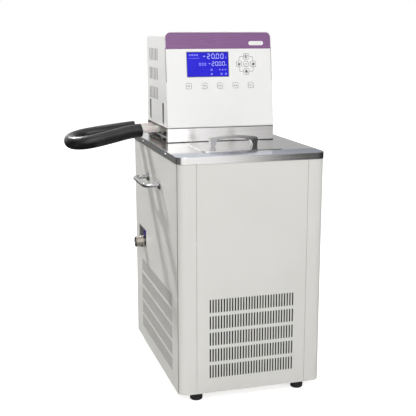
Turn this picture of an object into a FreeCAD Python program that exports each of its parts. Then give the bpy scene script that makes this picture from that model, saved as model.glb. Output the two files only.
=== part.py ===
import FreeCAD, Part
import math
import os
import Sketcher

# Refrigerated circulating water bath: a white control head on a grey cabinet with a steel bath deck.
# Millimetres. Origin at floor level under the middle of the cabinet, +X right, +Y to the back, +Z up.

Vector = FreeCAD.Vector

document = FreeCAD.newDocument("RefrigeratedBath")
sheet = document.addObject("Spreadsheet::Sheet", "Sizes")

DRIVING_SIZES = {
    # cabinet
    "body_width": 330.0,
    "body_depth": 450.0,
    "foot_height": 22.0,
    "deck_height": 548.0,
    "panel_sheet": 1.2,
    "panel_round": 18.0,
    "rear_round": 4.0,
    "front_return": 39.0,
    "rear_return": 15.0,
    "seam_gap": 0.6,
    "base_sheet": 1.5,
    "base_flange": 25.0,
    "foot_radius": 15.0,
    "foot_inset": 45.0,
    "foot_setback": 28.0,
    # grilles
    "slot_width": 3.2,
    "slot_height": 30.0,
    "slot_pitch": 6.35,
    "slot_row_pitch": 37.5,
    "slot_rows": 5,
    "front_slots": 31,
    "side_slots": 50,
    "side_grille_shift": 3.0,
    "grille_base": 34.0,
    "louvre_width": 160.0,
    "louvre_height": 6.0,
    "louvre_pitch": 18.0,
    "louvre_rows": 9,
    "louvre_base": 130.0,
    # deck, lid and bath opening
    "deck_sheet": 1.0,
    "skirt_height": 15.0,
    "skirt_gap": 0.2,
    "opening_width": 176.0,
    "opening_length": 144.0,
    "opening_setback": 68.0,
    "opening_round": 10.0,
    "lid_margin": 4.0,
    "lid_sheet": 1.2,
    "lid_plug_depth": 8.0,
    "lid_plug_gap": 2.0,
    "bow_span": 110.0,
    "bow_height": 24.5,
    "bow_width": 12.0,
    "bow_foot": 9.5,
    "bow_sheet": 4.0,
    # tank, cooling coil and insulation
    "tank_width": 210.0,
    "tank_length": 360.0,
    "tank_depth": 150.0,
    "tank_sheet": 1.0,
    "tank_round": 20.0,
    "tank_setback": 54.0,
    "tank_flange": 10.0,
    "coil_thick": 6.0,
    "coil_tall": 12.0,
    "coil_pitch": 28.0,
    "coil_turns": 4,
    "foam_wall": 25.0,
    # head
    "head_width": 260.0,
    "head_height": 220.0,
    "head_setback": 232.0,
    "head_rear_gap": 3.0,
    "head_lean": 7.0,
    "head_wall": 2.5,
    "head_round": 14.0,
    "bezel_depth": 14.0,
    "bezel_round": 1.5,
    "collar_height": 34.0,
    "collar_sheet": 1.5,
    "collar_return": 15.0,
    "collar_flange": 10.0,
    "vent_width": 7.0,
    "vent_height": 29.0,
    "vent_pitch": 15.8,
    "vent_row_pitch": 46.3,
    "vents": 6,
    "vent_rows": 3,
    "vent_setback": 331.0,
    "vent_base": 59.0,
    "groove_width": 16.0,
    "groove_height": 50.0,
    "groove_base": 5.0,
    "groove_front_setback": 270.0,
    "groove_rear_setback": 404.0,
    # control face
    "film_sheet": 0.5,
    "film_margin": 2.0,
    "film_round": 12.0,
    "display_width": 101.0,
    "display_height": 57.0,
    "display_offset": -28.3,
    "display_middle": 146.0,
    "lens_gap": 0.2,
    "lens_sheet": 2.0,
    "module_depth": 8.0,
    "board_sheet": 1.6,
    "key_size": 14.0,
    "key_round": 3.5,
    "key_rise": 0.4,
    "key_pitch": 38.0,
    "key_row": 96.5,
    "pad_offset": 66.0,
    "pad_middle": 146.0,
    "pad_reach": 17.6,
    # service plate, pump and probes
    "service_width": 190.0,
    "service_length": 150.0,
    "service_setback": 265.0,
    "service_margin": 15.0,
    "service_sheet": 2.0,
    "post_radius": 5.0,
    "post_inset": 12.0,
    "tray_sheet": 1.5,
    "pump_offset": 20.0,
    "pump_setback": 310.0,
    "pump_lift": 14.0,
    "motor_radius": 36.0,
    "motor_height": 85.0,
    "shaft_radius": 4.0,
    "shaft_clearance": 0.05,
    "shaft_insertion": 35.0,
    "column_radius": 15.0,
    "column_wall": 1.5,
    "housing_radius": 38.0,
    "housing_height": 30.0,
    "housing_wall": 4.0,
    "impeller_gap": 4.0,
    "vane_count": 6,
    "pipe_radius": 6.0,
    "pipe_wall": 1.0,
    "pipe_bend": 16.0,
    "port_setback": 330.0,
    "port_spacing": 65.0,
    "port_height": 23.5,
    "port_reach": 122.0,
    "heater_radius": 4.2,
    "heater_offset": 75.0,
    "heater_bend": 20.0,
    "probe_radius": 3.0,
    "probe_offset": -82.0,
    # insulated hose loop
    "tube_radius": 8.0,
    "tube_wall": 1.9,
    "tube_overlap": 18.0,
    "foam_radius": 16.0,
    "foam_gap": 0.3,
    # carrying handles
    "grip_radius": 4.75,
    "grip_spacing": 118.0,
    "grip_reach": 40.5,
    "grip_height": 462.5,
    "grip_bend": 12.0,
    "rosette_radius": 10.5,
    "rosette_height": 6.0,
    # drain
    "drain_setback": 326.0,
    "drain_width": 82.0,
    "drain_base": 276.5,
    "drain_tall": 44.0,
    "drain_depth": 46.0,
    "drain_wall": 1.5,
    "drain_fit": 0.3,
    "drain_lip": 8.0,
    "spout_setback": 352.0,
    "spout_radius": 12.8,
    "spout_bore": 7.2,
    "spout_reach": 22.0,
    "spout_neck": 8.6,
    "spout_standoff": 0.5,
    "valve_size": 18.0,
    "valve_length": 26.0,
    "stem_setback": 9.0,
    "lever_length": 25.7,
    "lever_width": 7.0,
    "lever_tall": 16.5,
    "drain_pipe_radius": 7.0,
    # refrigeration
    "condenser_width": 200.0,
    "condenser_height": 215.0,
    "condenser_depth": 36.0,
    "filter_sheet": 5.0,
    "fin_count": 18,
    "fin_gap": 5.0,
    "fan_radius": 82.0,
    "fan_ring_gap": 4.0,
    "fan_ring_sheet": 1.5,
    "fan_ring_depth": 30.0,
    "fan_hub_radius": 22.0,
    "fan_blades": 5,
    "fan_blade_pitch": 28.0,
    "fan_shaft_radius": 3.0,
    "fan_motor_radius": 30.0,
    "fan_motor_depth": 40.0,
    "compressor_radius": 66.0,
    "compressor_height": 170.0,
    "compressor_setback": 335.0,
    "compressor_offset": -55.0,
    "drier_radius": 11.0,
    "line_radius": 3.0,
    # electrical parts at the back
    "power_box_width": 110.0,
    "power_box_depth": 60.0,
    "power_box_height": 150.0,
    "inlet_offset": -85.0,
    "inlet_height": 70.0,
    "switch_offset": -30.0,
    "switch_fit": 0.3,
    "switch_tilt": 8.0,
    "screw_radius": 2.0,
    "screw_head_radius": 3.8,
    "screw_head_height": 1.2,
}


class Size:
    """A length or count that carries both its formula for the sheet and its number."""

    def __init__(self, text, number):
        self.text = text
        self.number = number

    @staticmethod
    def of(value):
        return value if isinstance(value, Size) else Size(repr(float(value)), float(value))

    def __add__(self, other):
        other = Size.of(other)
        return Size(f"({self.text} + {other.text})", self.number + other.number)

    def __radd__(self, other):
        return Size.of(other) + self

    def __sub__(self, other):
        other = Size.of(other)
        return Size(f"({self.text} - {other.text})", self.number - other.number)

    def __rsub__(self, other):
        return Size.of(other) - self

    def __mul__(self, other):
        other = Size.of(other)
        return Size(f"({self.text} * {other.text})", self.number * other.number)

    def __rmul__(self, other):
        return Size.of(other) * self

    def __truediv__(self, other):
        other = Size.of(other)
        return Size(f"({self.text} / {other.text})", self.number / other.number)

    def __neg__(self):
        return Size(f"(0 - {self.text})", -self.number)


def tangent(angle):
    return Size(f"tan({angle.text} * 1 deg)", math.tan(math.radians(angle.number)))


def cosine(angle):
    return Size(f"cos({angle.text} * 1 deg)", math.cos(math.radians(angle.number)))


class SizeSheet:
    """Every driving size by name, as a cell of the spreadsheet."""

    def __init__(self, table):
        for row, (name, value) in enumerate(table.items(), 1):
            sheet.set(f"A{row}", name)
            sheet.set(f"B{row}", str(value))
            sheet.setAlias(f"B{row}", name)
            setattr(self, name, Size(f"Sizes.{name}", float(value)))


s = SizeSheet(DRIVING_SIZES)
document.recompute()
nodes = []


# Building blocks

def bind(thing, **formulas):
    """Set each property from its formula; an underscore in a name stands for a dot."""
    for name, formula in formulas.items():
        thing.setExpression(name.replace("_", "."), Size.of(formula).text)


def place(thing, x=0, y=0, z=0):
    bind(thing, Placement_Base_x=x, Placement_Base_y=y, Placement_Base_z=z)
    return thing


def node(thing, label):
    thing.Label = label
    nodes.append(thing)
    return thing


def block(name, x, y, z):
    """A box between two values along each axis."""
    box = document.addObject("Part::Box", name)
    low = [Size.of(pair[0]) for pair in (x, y, z)]
    high = [Size.of(pair[1]) for pair in (x, y, z)]
    bind(box, Length=high[0] - low[0], Width=high[1] - low[1], Height=high[2] - low[2])
    return place(box, *low)


def rod(name, radius, axis, start, end, across):
    """A cylinder along one axis from start to end, at two coordinates across it in X, Y, Z order."""
    cylinder = document.addObject("Part::Cylinder", name)
    start = Size.of(start)
    bind(cylinder, Radius=radius, Height=Size.of(end) - start)
    turn = {"X": (Vector(0, 1, 0), 90), "Y": (Vector(1, 0, 0), -90), "Z": (Vector(0, 0, 1), 0)}[axis]
    cylinder.Placement = FreeCAD.Placement(Vector(), FreeCAD.Rotation(*turn))
    at = list(across)
    at.insert("XYZ".index(axis), start)
    return place(cylinder, *at)


def join(name, *pieces):
    fused = document.addObject("Part::MultiFuse", name)
    fused.Shapes = list(pieces)
    return fused


def cut(name, base, *tools):
    result = document.addObject("Part::Cut", name)
    result.Base = base
    result.Tool = tools[0] if len(tools) == 1 else join(name + "_tools", *tools)
    return result


def group(name, pieces):
    compound = document.addObject("Part::Compound", name)
    compound.Links = list(pieces)
    return compound


def new_body(name):
    return document.addObject("PartDesign::Body", name)


def new_sketch(body, role, lift=0):
    """A sketch on one of the body's own origin planes, moved along the plane's normal by lift."""
    sketch = body.newObject("Sketcher::SketchObject", body.Name + "_sketch")
    plane = [item for item in body.Origin.OriginFeatures if item.Role == role][0]
    sketch.AttachmentSupport = (plane, [""])
    sketch.MapMode = "FlatFace"
    if lift:
        sketch.setExpression("AttachmentOffset.Base.z", Size.of(lift).text)
    return sketch


def fix_point(sketch, geometry, end, x, y):
    for kind, formula in (("DistanceX", x), ("DistanceY", y)):
        formula = Size.of(formula)
        index = sketch.addConstraint(Sketcher.Constraint(kind, -1, 1, geometry, end, formula.number))
        sketch.setExpression(f"Constraints[{index}]", formula.text)


def outline(sketch, points):
    """A closed outline of straight sides, each corner held by its two formulas."""
    first = sketch.GeometryCount
    corners = [Vector(Size.of(x).number, Size.of(y).number, 0) for x, y in points]
    for index, corner in enumerate(corners):
        following = corners[(index + 1) % len(corners)]
        sketch.addGeometry(Part.LineSegment(corner, following), False)
    for index in range(len(corners)):
        following = first + (index + 1) % len(corners)
        sketch.addConstraint(Sketcher.Constraint("Coincident", first + index, 2, following, 1))
    for index, (x, y) in enumerate(points):
        fix_point(sketch, first + index, 1, x, y)


def rectangle(sketch, x, y):
    outline(sketch, [(x[0], y[0]), (x[1], y[0]), (x[1], y[1]), (x[0], y[1])])


def circle(sketch, x, y, radius):
    middle = Vector(Size.of(x).number, Size.of(y).number, 0)
    radius = Size.of(radius)
    index = sketch.addGeometry(Part.Circle(middle, Vector(0, 0, 1), radius.number), False)
    fix_point(sketch, index, 3, x, y)
    rule = sketch.addConstraint(Sketcher.Constraint("Radius", index, radius.number))
    sketch.setExpression(f"Constraints[{rule}]", radius.text)


def pad(body, sketch, length, middle=False, backwards=False):
    feature = body.newObject("PartDesign::Pad", body.Name + "_pad")
    feature.Profile = sketch
    bind(feature, Length=length)
    feature.Midplane = middle
    feature.Reversed = backwards
    document.recompute()
    return feature


def pocket(body, sketch, length, middle=True, backwards=False):
    feature = body.newObject("PartDesign::Pocket", body.Name + "_pocket")
    feature.Profile = sketch
    bind(feature, Length=length)
    feature.Midplane = middle
    feature.Reversed = backwards
    document.recompute()
    return feature


def repeat(body, feature, sketch, across, rows=None):
    """Repeat a feature along the sketch's axes; across and rows are each (count, pitch)."""
    pattern = body.newObject("PartDesign::MultiTransform", body.Name + "_pattern")
    pattern.Originals = [feature]
    steps = []
    for axis, counts in (("H_Axis", across), ("V_Axis", rows)):
        if counts is None:
            continue
        count, pitch = counts
        step = body.newObject("PartDesign::LinearPattern", body.Name + "_step")
        step.Direction = (sketch, [axis])
        bind(step, Occurrences=count, Length=pitch * (count - 1))
        steps.append(step)
    pattern.Transformations = steps
    body.Tip = pattern
    document.recompute()
    return pattern


def edges_of(feature, chosen):
    return [f"Edge{i}" for i, edge in enumerate(feature.Shape.Edges, 1) if chosen(edge)]


def runs_along(edge, direction):
    ends = [vertex.Point for vertex in edge.Vertexes]
    if len(ends) != 2 or edge.Curve.TypeId != "Part::GeomLine":
        return False
    return (ends[1] - ends[0]).normalize().cross(direction).Length < 1e-6


def lies_at(edge, **values):
    """True where the whole edge lies at the given x, y or z."""
    box = edge.BoundBox
    spans = {"x": (box.XMin, box.XMax), "y": (box.YMin, box.YMax), "z": (box.ZMin, box.ZMax)}
    return all(
        abs(end - Size.of(value).number) < 1e-4 for name, value in values.items() for end in spans[name]
    )


def round_edges(body, feature, radius, chosen):
    rounded = body.newObject("PartDesign::Fillet", body.Name + "_round")
    rounded.Base = (feature, edges_of(feature, chosen))
    bind(rounded, Radius=radius)
    document.recompute()
    return rounded


def hollow(body, feature, wall, open_faces):
    shell = body.newObject("PartDesign::Thickness", body.Name + "_hollow")
    names = [f"Face{i}" for i, face in enumerate(feature.Shape.Faces, 1) if open_faces(face)]
    shell.Base = (feature, names)
    bind(shell, Value=wall)
    shell.Reversed = True
    shell.Join = 0
    document.recompute()
    return shell


def faces(face, x=0, y=0, z=0):
    """True where a flat face points that way."""
    if face.Surface.TypeId != "Part::GeomPlane":
        return False
    return face.normalAt(0, 0).getAngle(Vector(x, y, z)) < 0.02


def turned(label, profile, x, y, z):
    """A piece turned about a vertical axis at x, y from an outline of (radius, height) points."""
    body = new_body(label)
    sketch = new_sketch(body, "XZ_Plane")
    outline(sketch, profile)
    turn = body.newObject("PartDesign::Revolution", label + "_turn")
    turn.Profile = sketch
    turn.ReferenceAxis = (sketch, ["V_Axis"])
    turn.Angle = 360
    return place(body, x, y, z)


# Main planes of the object

half_width = s.body_width / 2
half_depth = s.body_depth / 2
inner_half_width = half_width - s.panel_sheet
inner_half_depth = half_depth - s.panel_sheet
deck_underside = s.deck_height - s.deck_sheet
panel_height = deck_underside - s.foot_height
base_floor = s.foot_height + s.base_sheet
LEFT, RIGHT = -1, 1


def from_front(distance):
    """Y of a place measured back from the cabinet's front face."""
    return distance - half_depth


# Base pan: a folded steel tray that closes the cabinet below and carries the machinery.

def build_base_pan():
    body = new_body("base_pan")
    sketch = new_sketch(body, "XY_Plane")
    rectangle(sketch, (-inner_half_width, inner_half_width), (-inner_half_depth, inner_half_depth))
    solid = pad(body, sketch, s.base_flange)
    upright = Vector(0, 0, 1)
    front = round_edges(body, solid, s.panel_round - s.panel_sheet,
                        lambda e: runs_along(e, upright) and e.BoundBox.YMax < 0)
    rear = round_edges(body, front, s.rear_round - s.panel_sheet,
                       lambda e: runs_along(e, upright) and lies_at(e, y=inner_half_depth))
    hollow(body, rear, s.base_sheet, lambda f: faces(f, z=1))
    place(body, z=s.foot_height)
    node(body, "base_pan")


# Feet: short turned rubber feet screwed under the base pan.

def build_feet():
    across = half_width - s.foot_inset
    along = half_depth - s.foot_setback
    profile = [
        (0, 0), (s.foot_radius - 3, 0), (s.foot_radius - 1, 2),
        (s.foot_radius, s.foot_height), (0, s.foot_height),
    ]
    feet = [
        turned(f"foot_{side + 1}_{end + 1}", profile, across * side, along * end, 0)
        for side in (LEFT, RIGHT) for end in (-1, 1)
    ]
    node(group("rubber_feet", feet), "rubber_feet")


# Side panels: wrapped sheet with a rounded front corner and a narrow return at the back.

def side_profile(sketch, side):
    front_end = (half_width - s.front_return) * side
    rear_end = (half_width - s.rear_return) * side
    outline(sketch, [
        (front_end, -half_depth), (half_width * side, -half_depth),
        (half_width * side, half_depth), (rear_end, half_depth),
        (rear_end, inner_half_depth), (inner_half_width * side, inner_half_depth),
        (inner_half_width * side, -inner_half_depth), (front_end, -inner_half_depth),
    ])


def build_side_panel(side, label):
    body = new_body(label)
    sketch = new_sketch(body, "XY_Plane")
    side_profile(sketch, side)
    feature = pad(body, sketch, panel_height)
    upright = Vector(0, 0, 1)
    corners = (
        (s.panel_round, half_width, -half_depth),
        (s.panel_round - s.panel_sheet, inner_half_width, -inner_half_depth),
        (s.rear_round, half_width, half_depth),
        (s.rear_round - s.panel_sheet, inner_half_width, inner_half_depth),
    )
    for radius, x, y in corners:
        feature = round_edges(body, feature, radius,
                              lambda e: runs_along(e, upright) and lies_at(e, x=x * side, y=y))
    holes = new_sketch(body, "YZ_Plane")
    for along in (-s.grip_spacing / 2, s.grip_spacing / 2):
        circle(holes, along, s.grip_height - s.foot_height, s.screw_radius + 0.5)
    pocket(body, holes, s.body_width * 2)
    if side == LEFT:
        recess = new_sketch(body, "YZ_Plane")
        base = s.drain_base - s.foot_height
        rectangle(recess, (from_front(s.drain_setback), from_front(s.drain_setback + s.drain_width)),
                  (base, base + s.drain_tall))
        pocket(body, recess, s.body_width * 2)
        slot = new_sketch(body, "YZ_Plane")
        start = -(s.side_slots - 1) * s.slot_pitch / 2 - s.slot_width / 2 - s.side_grille_shift
        rectangle(slot, (start, start + s.slot_width), (s.grille_base, s.grille_base + s.slot_height))
        first = pocket(body, slot, s.body_width * 2)
        repeat(body, first, slot, (s.side_slots, s.slot_pitch), (s.slot_rows, s.slot_row_pitch))
    place(body, z=s.foot_height)
    node(body, label)


# Front panel: a flat sheet between the two wraps, with the main grille.

def build_front_panel():
    body = new_body("front_panel")
    edge = half_width - s.front_return - s.seam_gap
    sketch = new_sketch(body, "XZ_Plane")
    rectangle(sketch, (-edge, edge), (0, panel_height))
    pad(body, sketch, s.panel_sheet)
    slot = new_sketch(body, "XZ_Plane")
    start = -(s.front_slots - 1) * s.slot_pitch / 2 - s.slot_width / 2
    rectangle(slot, (start, start + s.slot_width), (s.grille_base, s.grille_base + s.slot_height))
    first = pocket(body, slot, s.panel_sheet * 4)
    repeat(body, first, slot, (s.front_slots, s.slot_pitch), (s.slot_rows, s.slot_row_pitch))
    place(body, y=-inner_half_depth, z=s.foot_height)
    node(body, "front_panel")


# Rear panel: flat sheet with outlet louvres and openings for the mains inlet and switch.

inlet_z = s.inlet_height
INLET_BODY = (28.0, 21.0)
SWITCH_BODY = (22.0, 30.0)


def build_rear_panel():
    body = new_body("rear_panel")
    edge = half_width - s.rear_return - s.seam_gap
    sketch = new_sketch(body, "XZ_Plane")
    rectangle(sketch, (-edge, edge), (0, panel_height))
    pad(body, sketch, s.panel_sheet)
    slot = new_sketch(body, "XZ_Plane")
    rectangle(slot, (-s.louvre_width / 2, s.louvre_width / 2),
              (s.louvre_base, s.louvre_base + s.louvre_height))
    first = pocket(body, slot, s.panel_sheet * 4)
    repeat(body, first, slot, None, (s.louvre_rows, s.louvre_pitch))
    openings = new_sketch(body, "XZ_Plane")
    for offset, (wide, tall) in ((s.inlet_offset, INLET_BODY), (s.switch_offset, SWITCH_BODY)):
        middle = inlet_z - s.foot_height
        rectangle(openings, (offset - wide / 2, offset + wide / 2), (middle - tall / 2, middle + tall / 2))
    pocket(body, openings, s.panel_sheet * 4)
    place(body, y=half_depth, z=s.foot_height)
    node(body, "rear_panel")


# Deck: folded stainless top with a turned-down skirt, the bath opening and the service opening.

skirt_half_width = half_width + s.skirt_gap + s.deck_sheet
skirt_half_depth = half_depth + s.skirt_gap + s.deck_sheet
opening_y = (from_front(s.opening_setback), from_front(s.opening_setback + s.opening_length))
opening_x = (-s.opening_width / 2, s.opening_width / 2)
service_y = (from_front(s.service_setback), from_front(s.service_setback + s.service_length))
service_x = (-s.service_width / 2, s.service_width / 2)
SCREW_SETBACKS = (110.0, 340.0)


def build_deck():
    body = new_body("deck")
    sketch = new_sketch(body, "XY_Plane")
    rectangle(sketch, (-skirt_half_width, skirt_half_width), (-skirt_half_depth, skirt_half_depth))
    solid = pad(body, sketch, s.skirt_height)
    upright = Vector(0, 0, 1)
    front = round_edges(body, solid, s.panel_round + s.skirt_gap + s.deck_sheet,
                        lambda e: runs_along(e, upright) and e.BoundBox.YMax < 0)
    rear = round_edges(body, front, s.rear_round + s.skirt_gap + s.deck_sheet,
                       lambda e: runs_along(e, upright) and lies_at(e, y=skirt_half_depth))
    top = round_edges(body, rear, s.deck_sheet + s.skirt_gap, lambda e: lies_at(e, z=s.skirt_height))
    hollow(body, top, s.deck_sheet, lambda f: faces(f, z=-1))
    openings = new_sketch(body, "XY_Plane")
    rectangle(openings, opening_x, opening_y)
    rectangle(openings, service_x, service_y)
    cutout = pocket(body, openings, s.skirt_height * 4)
    round_edges(body, cutout, s.opening_round,
                lambda e: runs_along(e, upright) and abs(e.BoundBox.XMax) < s.body_width.number * 0.4
                and e.BoundBox.ZMin > s.skirt_height.number - 2 * s.deck_sheet.number)
    holes = new_sketch(body, "YZ_Plane")
    for setback in SCREW_SETBACKS:
        circle(holes, from_front(Size.of(setback)), s.skirt_height / 2, s.screw_radius + 0.1)
    pocket(body, holes, s.body_width * 2)
    place(body, z=s.deck_height - s.skirt_height)
    node(body, "deck")


def build_deck_screws():
    screws = []
    height = s.deck_height - s.skirt_height / 2
    for side, inward in ((LEFT, 1), (RIGHT, -1)):
        seat = skirt_half_width * side
        for number, setback in enumerate(SCREW_SETBACKS):
            y = from_front(Size.of(setback))
            name = f"deck_screw_{side + 1}_{number}"
            outer = seat - s.screw_head_height * inward
            inner = seat + (s.skirt_gap + s.deck_sheet) * inward
            low, high = (outer, seat) if side == LEFT else (seat, outer)
            head = rod(name + "_head", s.screw_head_radius, "X", low, high, (y, height))
            low, high = (seat, inner) if side == LEFT else (inner, seat)
            shank = rod(name + "_shank", s.screw_radius, "X", low, high, (y, height))
            screws.append(join(name, head, shank))
    node(group("deck_screws", screws), "deck_screws")


# Lid: pressed stainless plate with a shallow plug that drops into the bath opening, and its bow handle.

lid_top = s.deck_height + s.lid_sheet
lid_middle_y = (opening_y[0] + opening_y[1]) / 2


def build_lid():
    body = new_body("bath_lid")
    plate = new_sketch(body, "XY_Plane")
    rectangle(plate, (opening_x[0] - s.lid_margin, opening_x[1] + s.lid_margin),
              (opening_y[0] - s.lid_margin, opening_y[1] + s.lid_margin))
    feature = pad(body, plate, s.lid_sheet)
    upright = Vector(0, 0, 1)
    feature = round_edges(body, feature, s.opening_round, lambda e: runs_along(e, upright))
    plug_x = (opening_x[0] + s.lid_plug_gap, opening_x[1] - s.lid_plug_gap)
    plug_y = (opening_y[0] + s.lid_plug_gap, opening_y[1] - s.lid_plug_gap)
    plug = new_sketch(body, "XY_Plane")
    rectangle(plug, plug_x, plug_y)
    feature = pad(body, plug, s.lid_plug_depth, backwards=True)
    feature = round_edges(body, feature, s.opening_round - s.lid_plug_gap,
                          lambda e: runs_along(e, upright) and e.BoundBox.ZMin < -1)
    press = new_sketch(body, "XY_Plane", lift=-s.lid_plug_depth)
    rectangle(press, (plug_x[0] + s.lid_sheet, plug_x[1] - s.lid_sheet),
              (plug_y[0] + s.lid_sheet, plug_y[1] - s.lid_sheet))
    pocket(body, press, s.lid_plug_depth, middle=False, backwards=True)
    place(body, z=s.deck_height)
    node(body, "bath_lid")


def build_lid_handle():
    body = new_body("lid_handle")
    sketch = new_sketch(body, "XZ_Plane")
    half = s.bow_span / 2
    shoulder = s.bow_height * 0.8
    outer = [(-half, 0), (-half - 3, shoulder), (0, s.bow_height), (half + 3, shoulder), (half, 0)]
    inside = half - s.bow_foot
    elbow = inside - 6
    elbow_height = shoulder - s.bow_sheet - 2
    inner = [
        (inside, 0), (elbow, elbow_height), (0, s.bow_height - s.bow_sheet),
        (-elbow, elbow_height), (-inside, 0),
    ]
    outline(sketch, outer + inner)
    feature = pad(body, sketch, s.bow_width, middle=True)
    across = Vector(0, 1, 0)

    def corner(x, z):
        return lambda e: runs_along(e, across) and lies_at(e, z=z) and abs(e.BoundBox.XMin - x) < 0.01

    for side in (LEFT, RIGHT):
        feature = round_edges(body, feature, 7, corner((half.number + 3) * side, shoulder))
        feature = round_edges(body, feature, 9, corner(elbow.number * side, elbow_height))
    feature = round_edges(body, feature, 160, corner(0, s.bow_height))
    feature = round_edges(body, feature, 160, corner(0, s.bow_height - s.bow_sheet))
    place(body, y=lid_middle_y, z=lid_top)
    node(body, "lid_handle")


# Tank: deep-drawn stainless tub hung by its flange under the deck.

tank_y = (from_front(s.tank_setback), from_front(s.tank_setback + s.tank_length + s.tank_sheet * 2))
tank_x = (-s.tank_width / 2 - s.tank_sheet, s.tank_width / 2 + s.tank_sheet)
tank_floor = deck_underside - s.tank_depth


def tub(name, x, y, low, high, corner):
    """A block with rounded upright corners and a rounded bottom edge."""
    body = new_body(name)
    sketch = new_sketch(body, "XY_Plane")
    rectangle(sketch, x, y)
    feature = pad(body, sketch, high - low)
    upright = Vector(0, 0, 1)
    feature = round_edges(body, feature, corner, lambda e: runs_along(e, upright))
    round_edges(body, feature, corner / 2, lambda e: lies_at(e, z=0))
    return place(body, z=low)


def build_tank():
    wall = s.tank_sheet
    outside = tub("tank_outside", tank_x, tank_y, tank_floor, deck_underside, s.tank_round)
    inside = tub("tank_inside", (tank_x[0] + wall, tank_x[1] - wall), (tank_y[0] + wall, tank_y[1] - wall),
                 tank_floor + wall, deck_underside + wall, s.tank_round - wall)
    flange = block("tank_flange_sheet", (tank_x[0] - s.tank_flange, tank_x[1] + s.tank_flange),
                   (tank_y[0] - s.tank_flange, tank_y[1] + s.tank_flange),
                   (deck_underside - wall, deck_underside))
    hole = rod("tank_drain_hole", s.drain_pipe_radius - 1.5, "Z", tank_floor - 1, tank_floor + 2,
               (drain_riser_x, spout_y))
    node(cut("bath_tank", join("tank_solid", outside, flange), inside, hole), "bath_tank")


# Cooling coil: flattened copper tube in turns round the tank, joined by one header.

def build_cooling_coil():
    outer_x = (tank_x[0] - s.coil_thick, tank_x[1] + s.coil_thick)
    outer_y = (tank_y[0] - s.coil_thick, tank_y[1] + s.coil_thick)
    low = tank_floor + s.tank_round
    turns = []
    for number in range(int(s.coil_turns.number)):
        z = (low + s.coil_pitch * number, low + s.coil_pitch * number + s.coil_tall)
        whole = block(f"coil_turn_{number}_whole", outer_x, outer_y, z)
        inside = block(f"coil_turn_{number}_inside", tank_x, tank_y, z)
        turns.append(cut(f"coil_turn_{number}", whole, inside))
    top = low + s.coil_pitch * (s.coil_turns - 1) + s.coil_tall
    header = block("coil_header", (s.coil_tall, s.coil_tall * 2), (outer_y[1] - s.coil_thick, outer_y[1]),
                   (low, top))
    node(join("cooling_coil", header, *turns), "cooling_coil")


foam_x = (tank_x[0] - s.coil_thick - s.foam_wall, tank_x[1] + s.coil_thick + s.foam_wall)
foam_y = (tank_y[0] - s.coil_thick - s.foam_wall, tank_y[1] + s.coil_thick + s.foam_wall)
foam_floor = tank_floor - s.foam_wall


def build_tank_insulation():
    whole = block("insulation_whole", foam_x, foam_y, (foam_floor, deck_underside - s.tank_sheet))
    inside = block("insulation_inside", (foam_x[0] + s.foam_wall, foam_x[1] - s.foam_wall),
                   (foam_y[0] + s.foam_wall, foam_y[1] - s.foam_wall), (tank_floor, s.deck_height))
    passage = rod("insulation_passage", s.drain_pipe_radius + 0.5, "Z", foam_floor - 1, tank_floor + 1,
                  (drain_riser_x, spout_y))
    suction = rod("insulation_suction", s.line_radius + 0.5, "Z", foam_floor - 1, tank_floor + 1,
                  (suction_x, suction_y))
    node(cut("tank_insulation", whole, inside, passage, suction), "tank_insulation")


# Head: stainless collar, white moulded cover and the leaning front bezel.

head_x = (-s.head_width / 2, s.head_width / 2)
head_front = from_front(s.head_setback)
head_rear = half_depth - s.head_rear_gap
head_floor = s.deck_height + s.collar_height
head_top = head_floor + s.head_height
lean_run = s.head_height * tangent(s.head_lean)


def build_head_collar():
    z = (s.deck_height, head_floor)
    sheet_ = s.collar_sheet
    whole = block("collar_whole", head_x, (head_front, head_rear), z)
    inside = block("collar_inside", (head_x[0] + sheet_, head_x[1] - sheet_),
                   (head_front + sheet_, head_rear - sheet_), (z[0] - 1, z[1] - sheet_))
    lip = sheet_ + s.collar_flange
    hole = block("collar_hole", (head_x[0] + lip, head_x[1] - lip), (head_front + lip, head_rear - lip),
                 (z[0], z[1] + 1))
    window = block("collar_window", (head_x[0] - 1, head_x[0] + lip),
                   (head_front + s.collar_return, head_rear - s.collar_return), (z[0] - 1, z[1] - sheet_))
    node(cut("head_collar", whole, inside, hole, window), "head_collar")


def side_outline(sketch, front_shift, rear_low, rear_high):
    """The head's side view: a front edge that leans back, level top and bottom."""
    outline(sketch, [
        (head_front + front_shift, head_floor), (head_front + front_shift + lean_run, head_top),
        (rear_high, head_top), (rear_low, head_floor),
    ])


def round_head_shoulders(body, feature):
    along = Vector(0, 1, 0)
    return round_edges(body, feature, s.head_round,
                       lambda e: runs_along(e, along) and lies_at(e, z=head_top))


def build_head_cover():
    body = new_body("head_cover")
    sketch = new_sketch(body, "YZ_Plane")
    side_outline(sketch, s.bezel_depth, head_rear, head_rear)
    feature = pad(body, sketch, s.head_width, middle=True)
    feature = round_head_shoulders(body, feature)
    feature = round_edges(body, feature, 4,
                          lambda e: lies_at(e, y=head_rear) and not lies_at(e, z=head_floor))
    lean = s.head_lean.number
    forward = Vector(0, -math.cos(math.radians(lean)), math.sin(math.radians(lean)))
    hollow(body, feature, s.head_wall,
           lambda f: faces(f, z=-1) or faces(f, forward.x, forward.y, forward.z))
    slot = new_sketch(body, "YZ_Plane")
    start = from_front(s.vent_setback)
    low = head_floor + s.vent_base
    rectangle(slot, (start, start + s.vent_width), (low, low + s.vent_height))
    first = pocket(body, slot, s.head_width * 2)
    repeat(body, first, slot, (s.vents, s.vent_pitch), (s.vent_rows, s.vent_row_pitch))
    grooves = new_sketch(body, "YZ_Plane")
    low = head_floor + s.groove_base
    for setback in (s.groove_front_setback, s.groove_rear_setback):
        start = from_front(setback)
        rectangle(grooves, (start, start + s.groove_width), (low, low + s.groove_height))
    pocket(body, grooves, s.head_width * 2)
    node(body, "head_cover")


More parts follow.
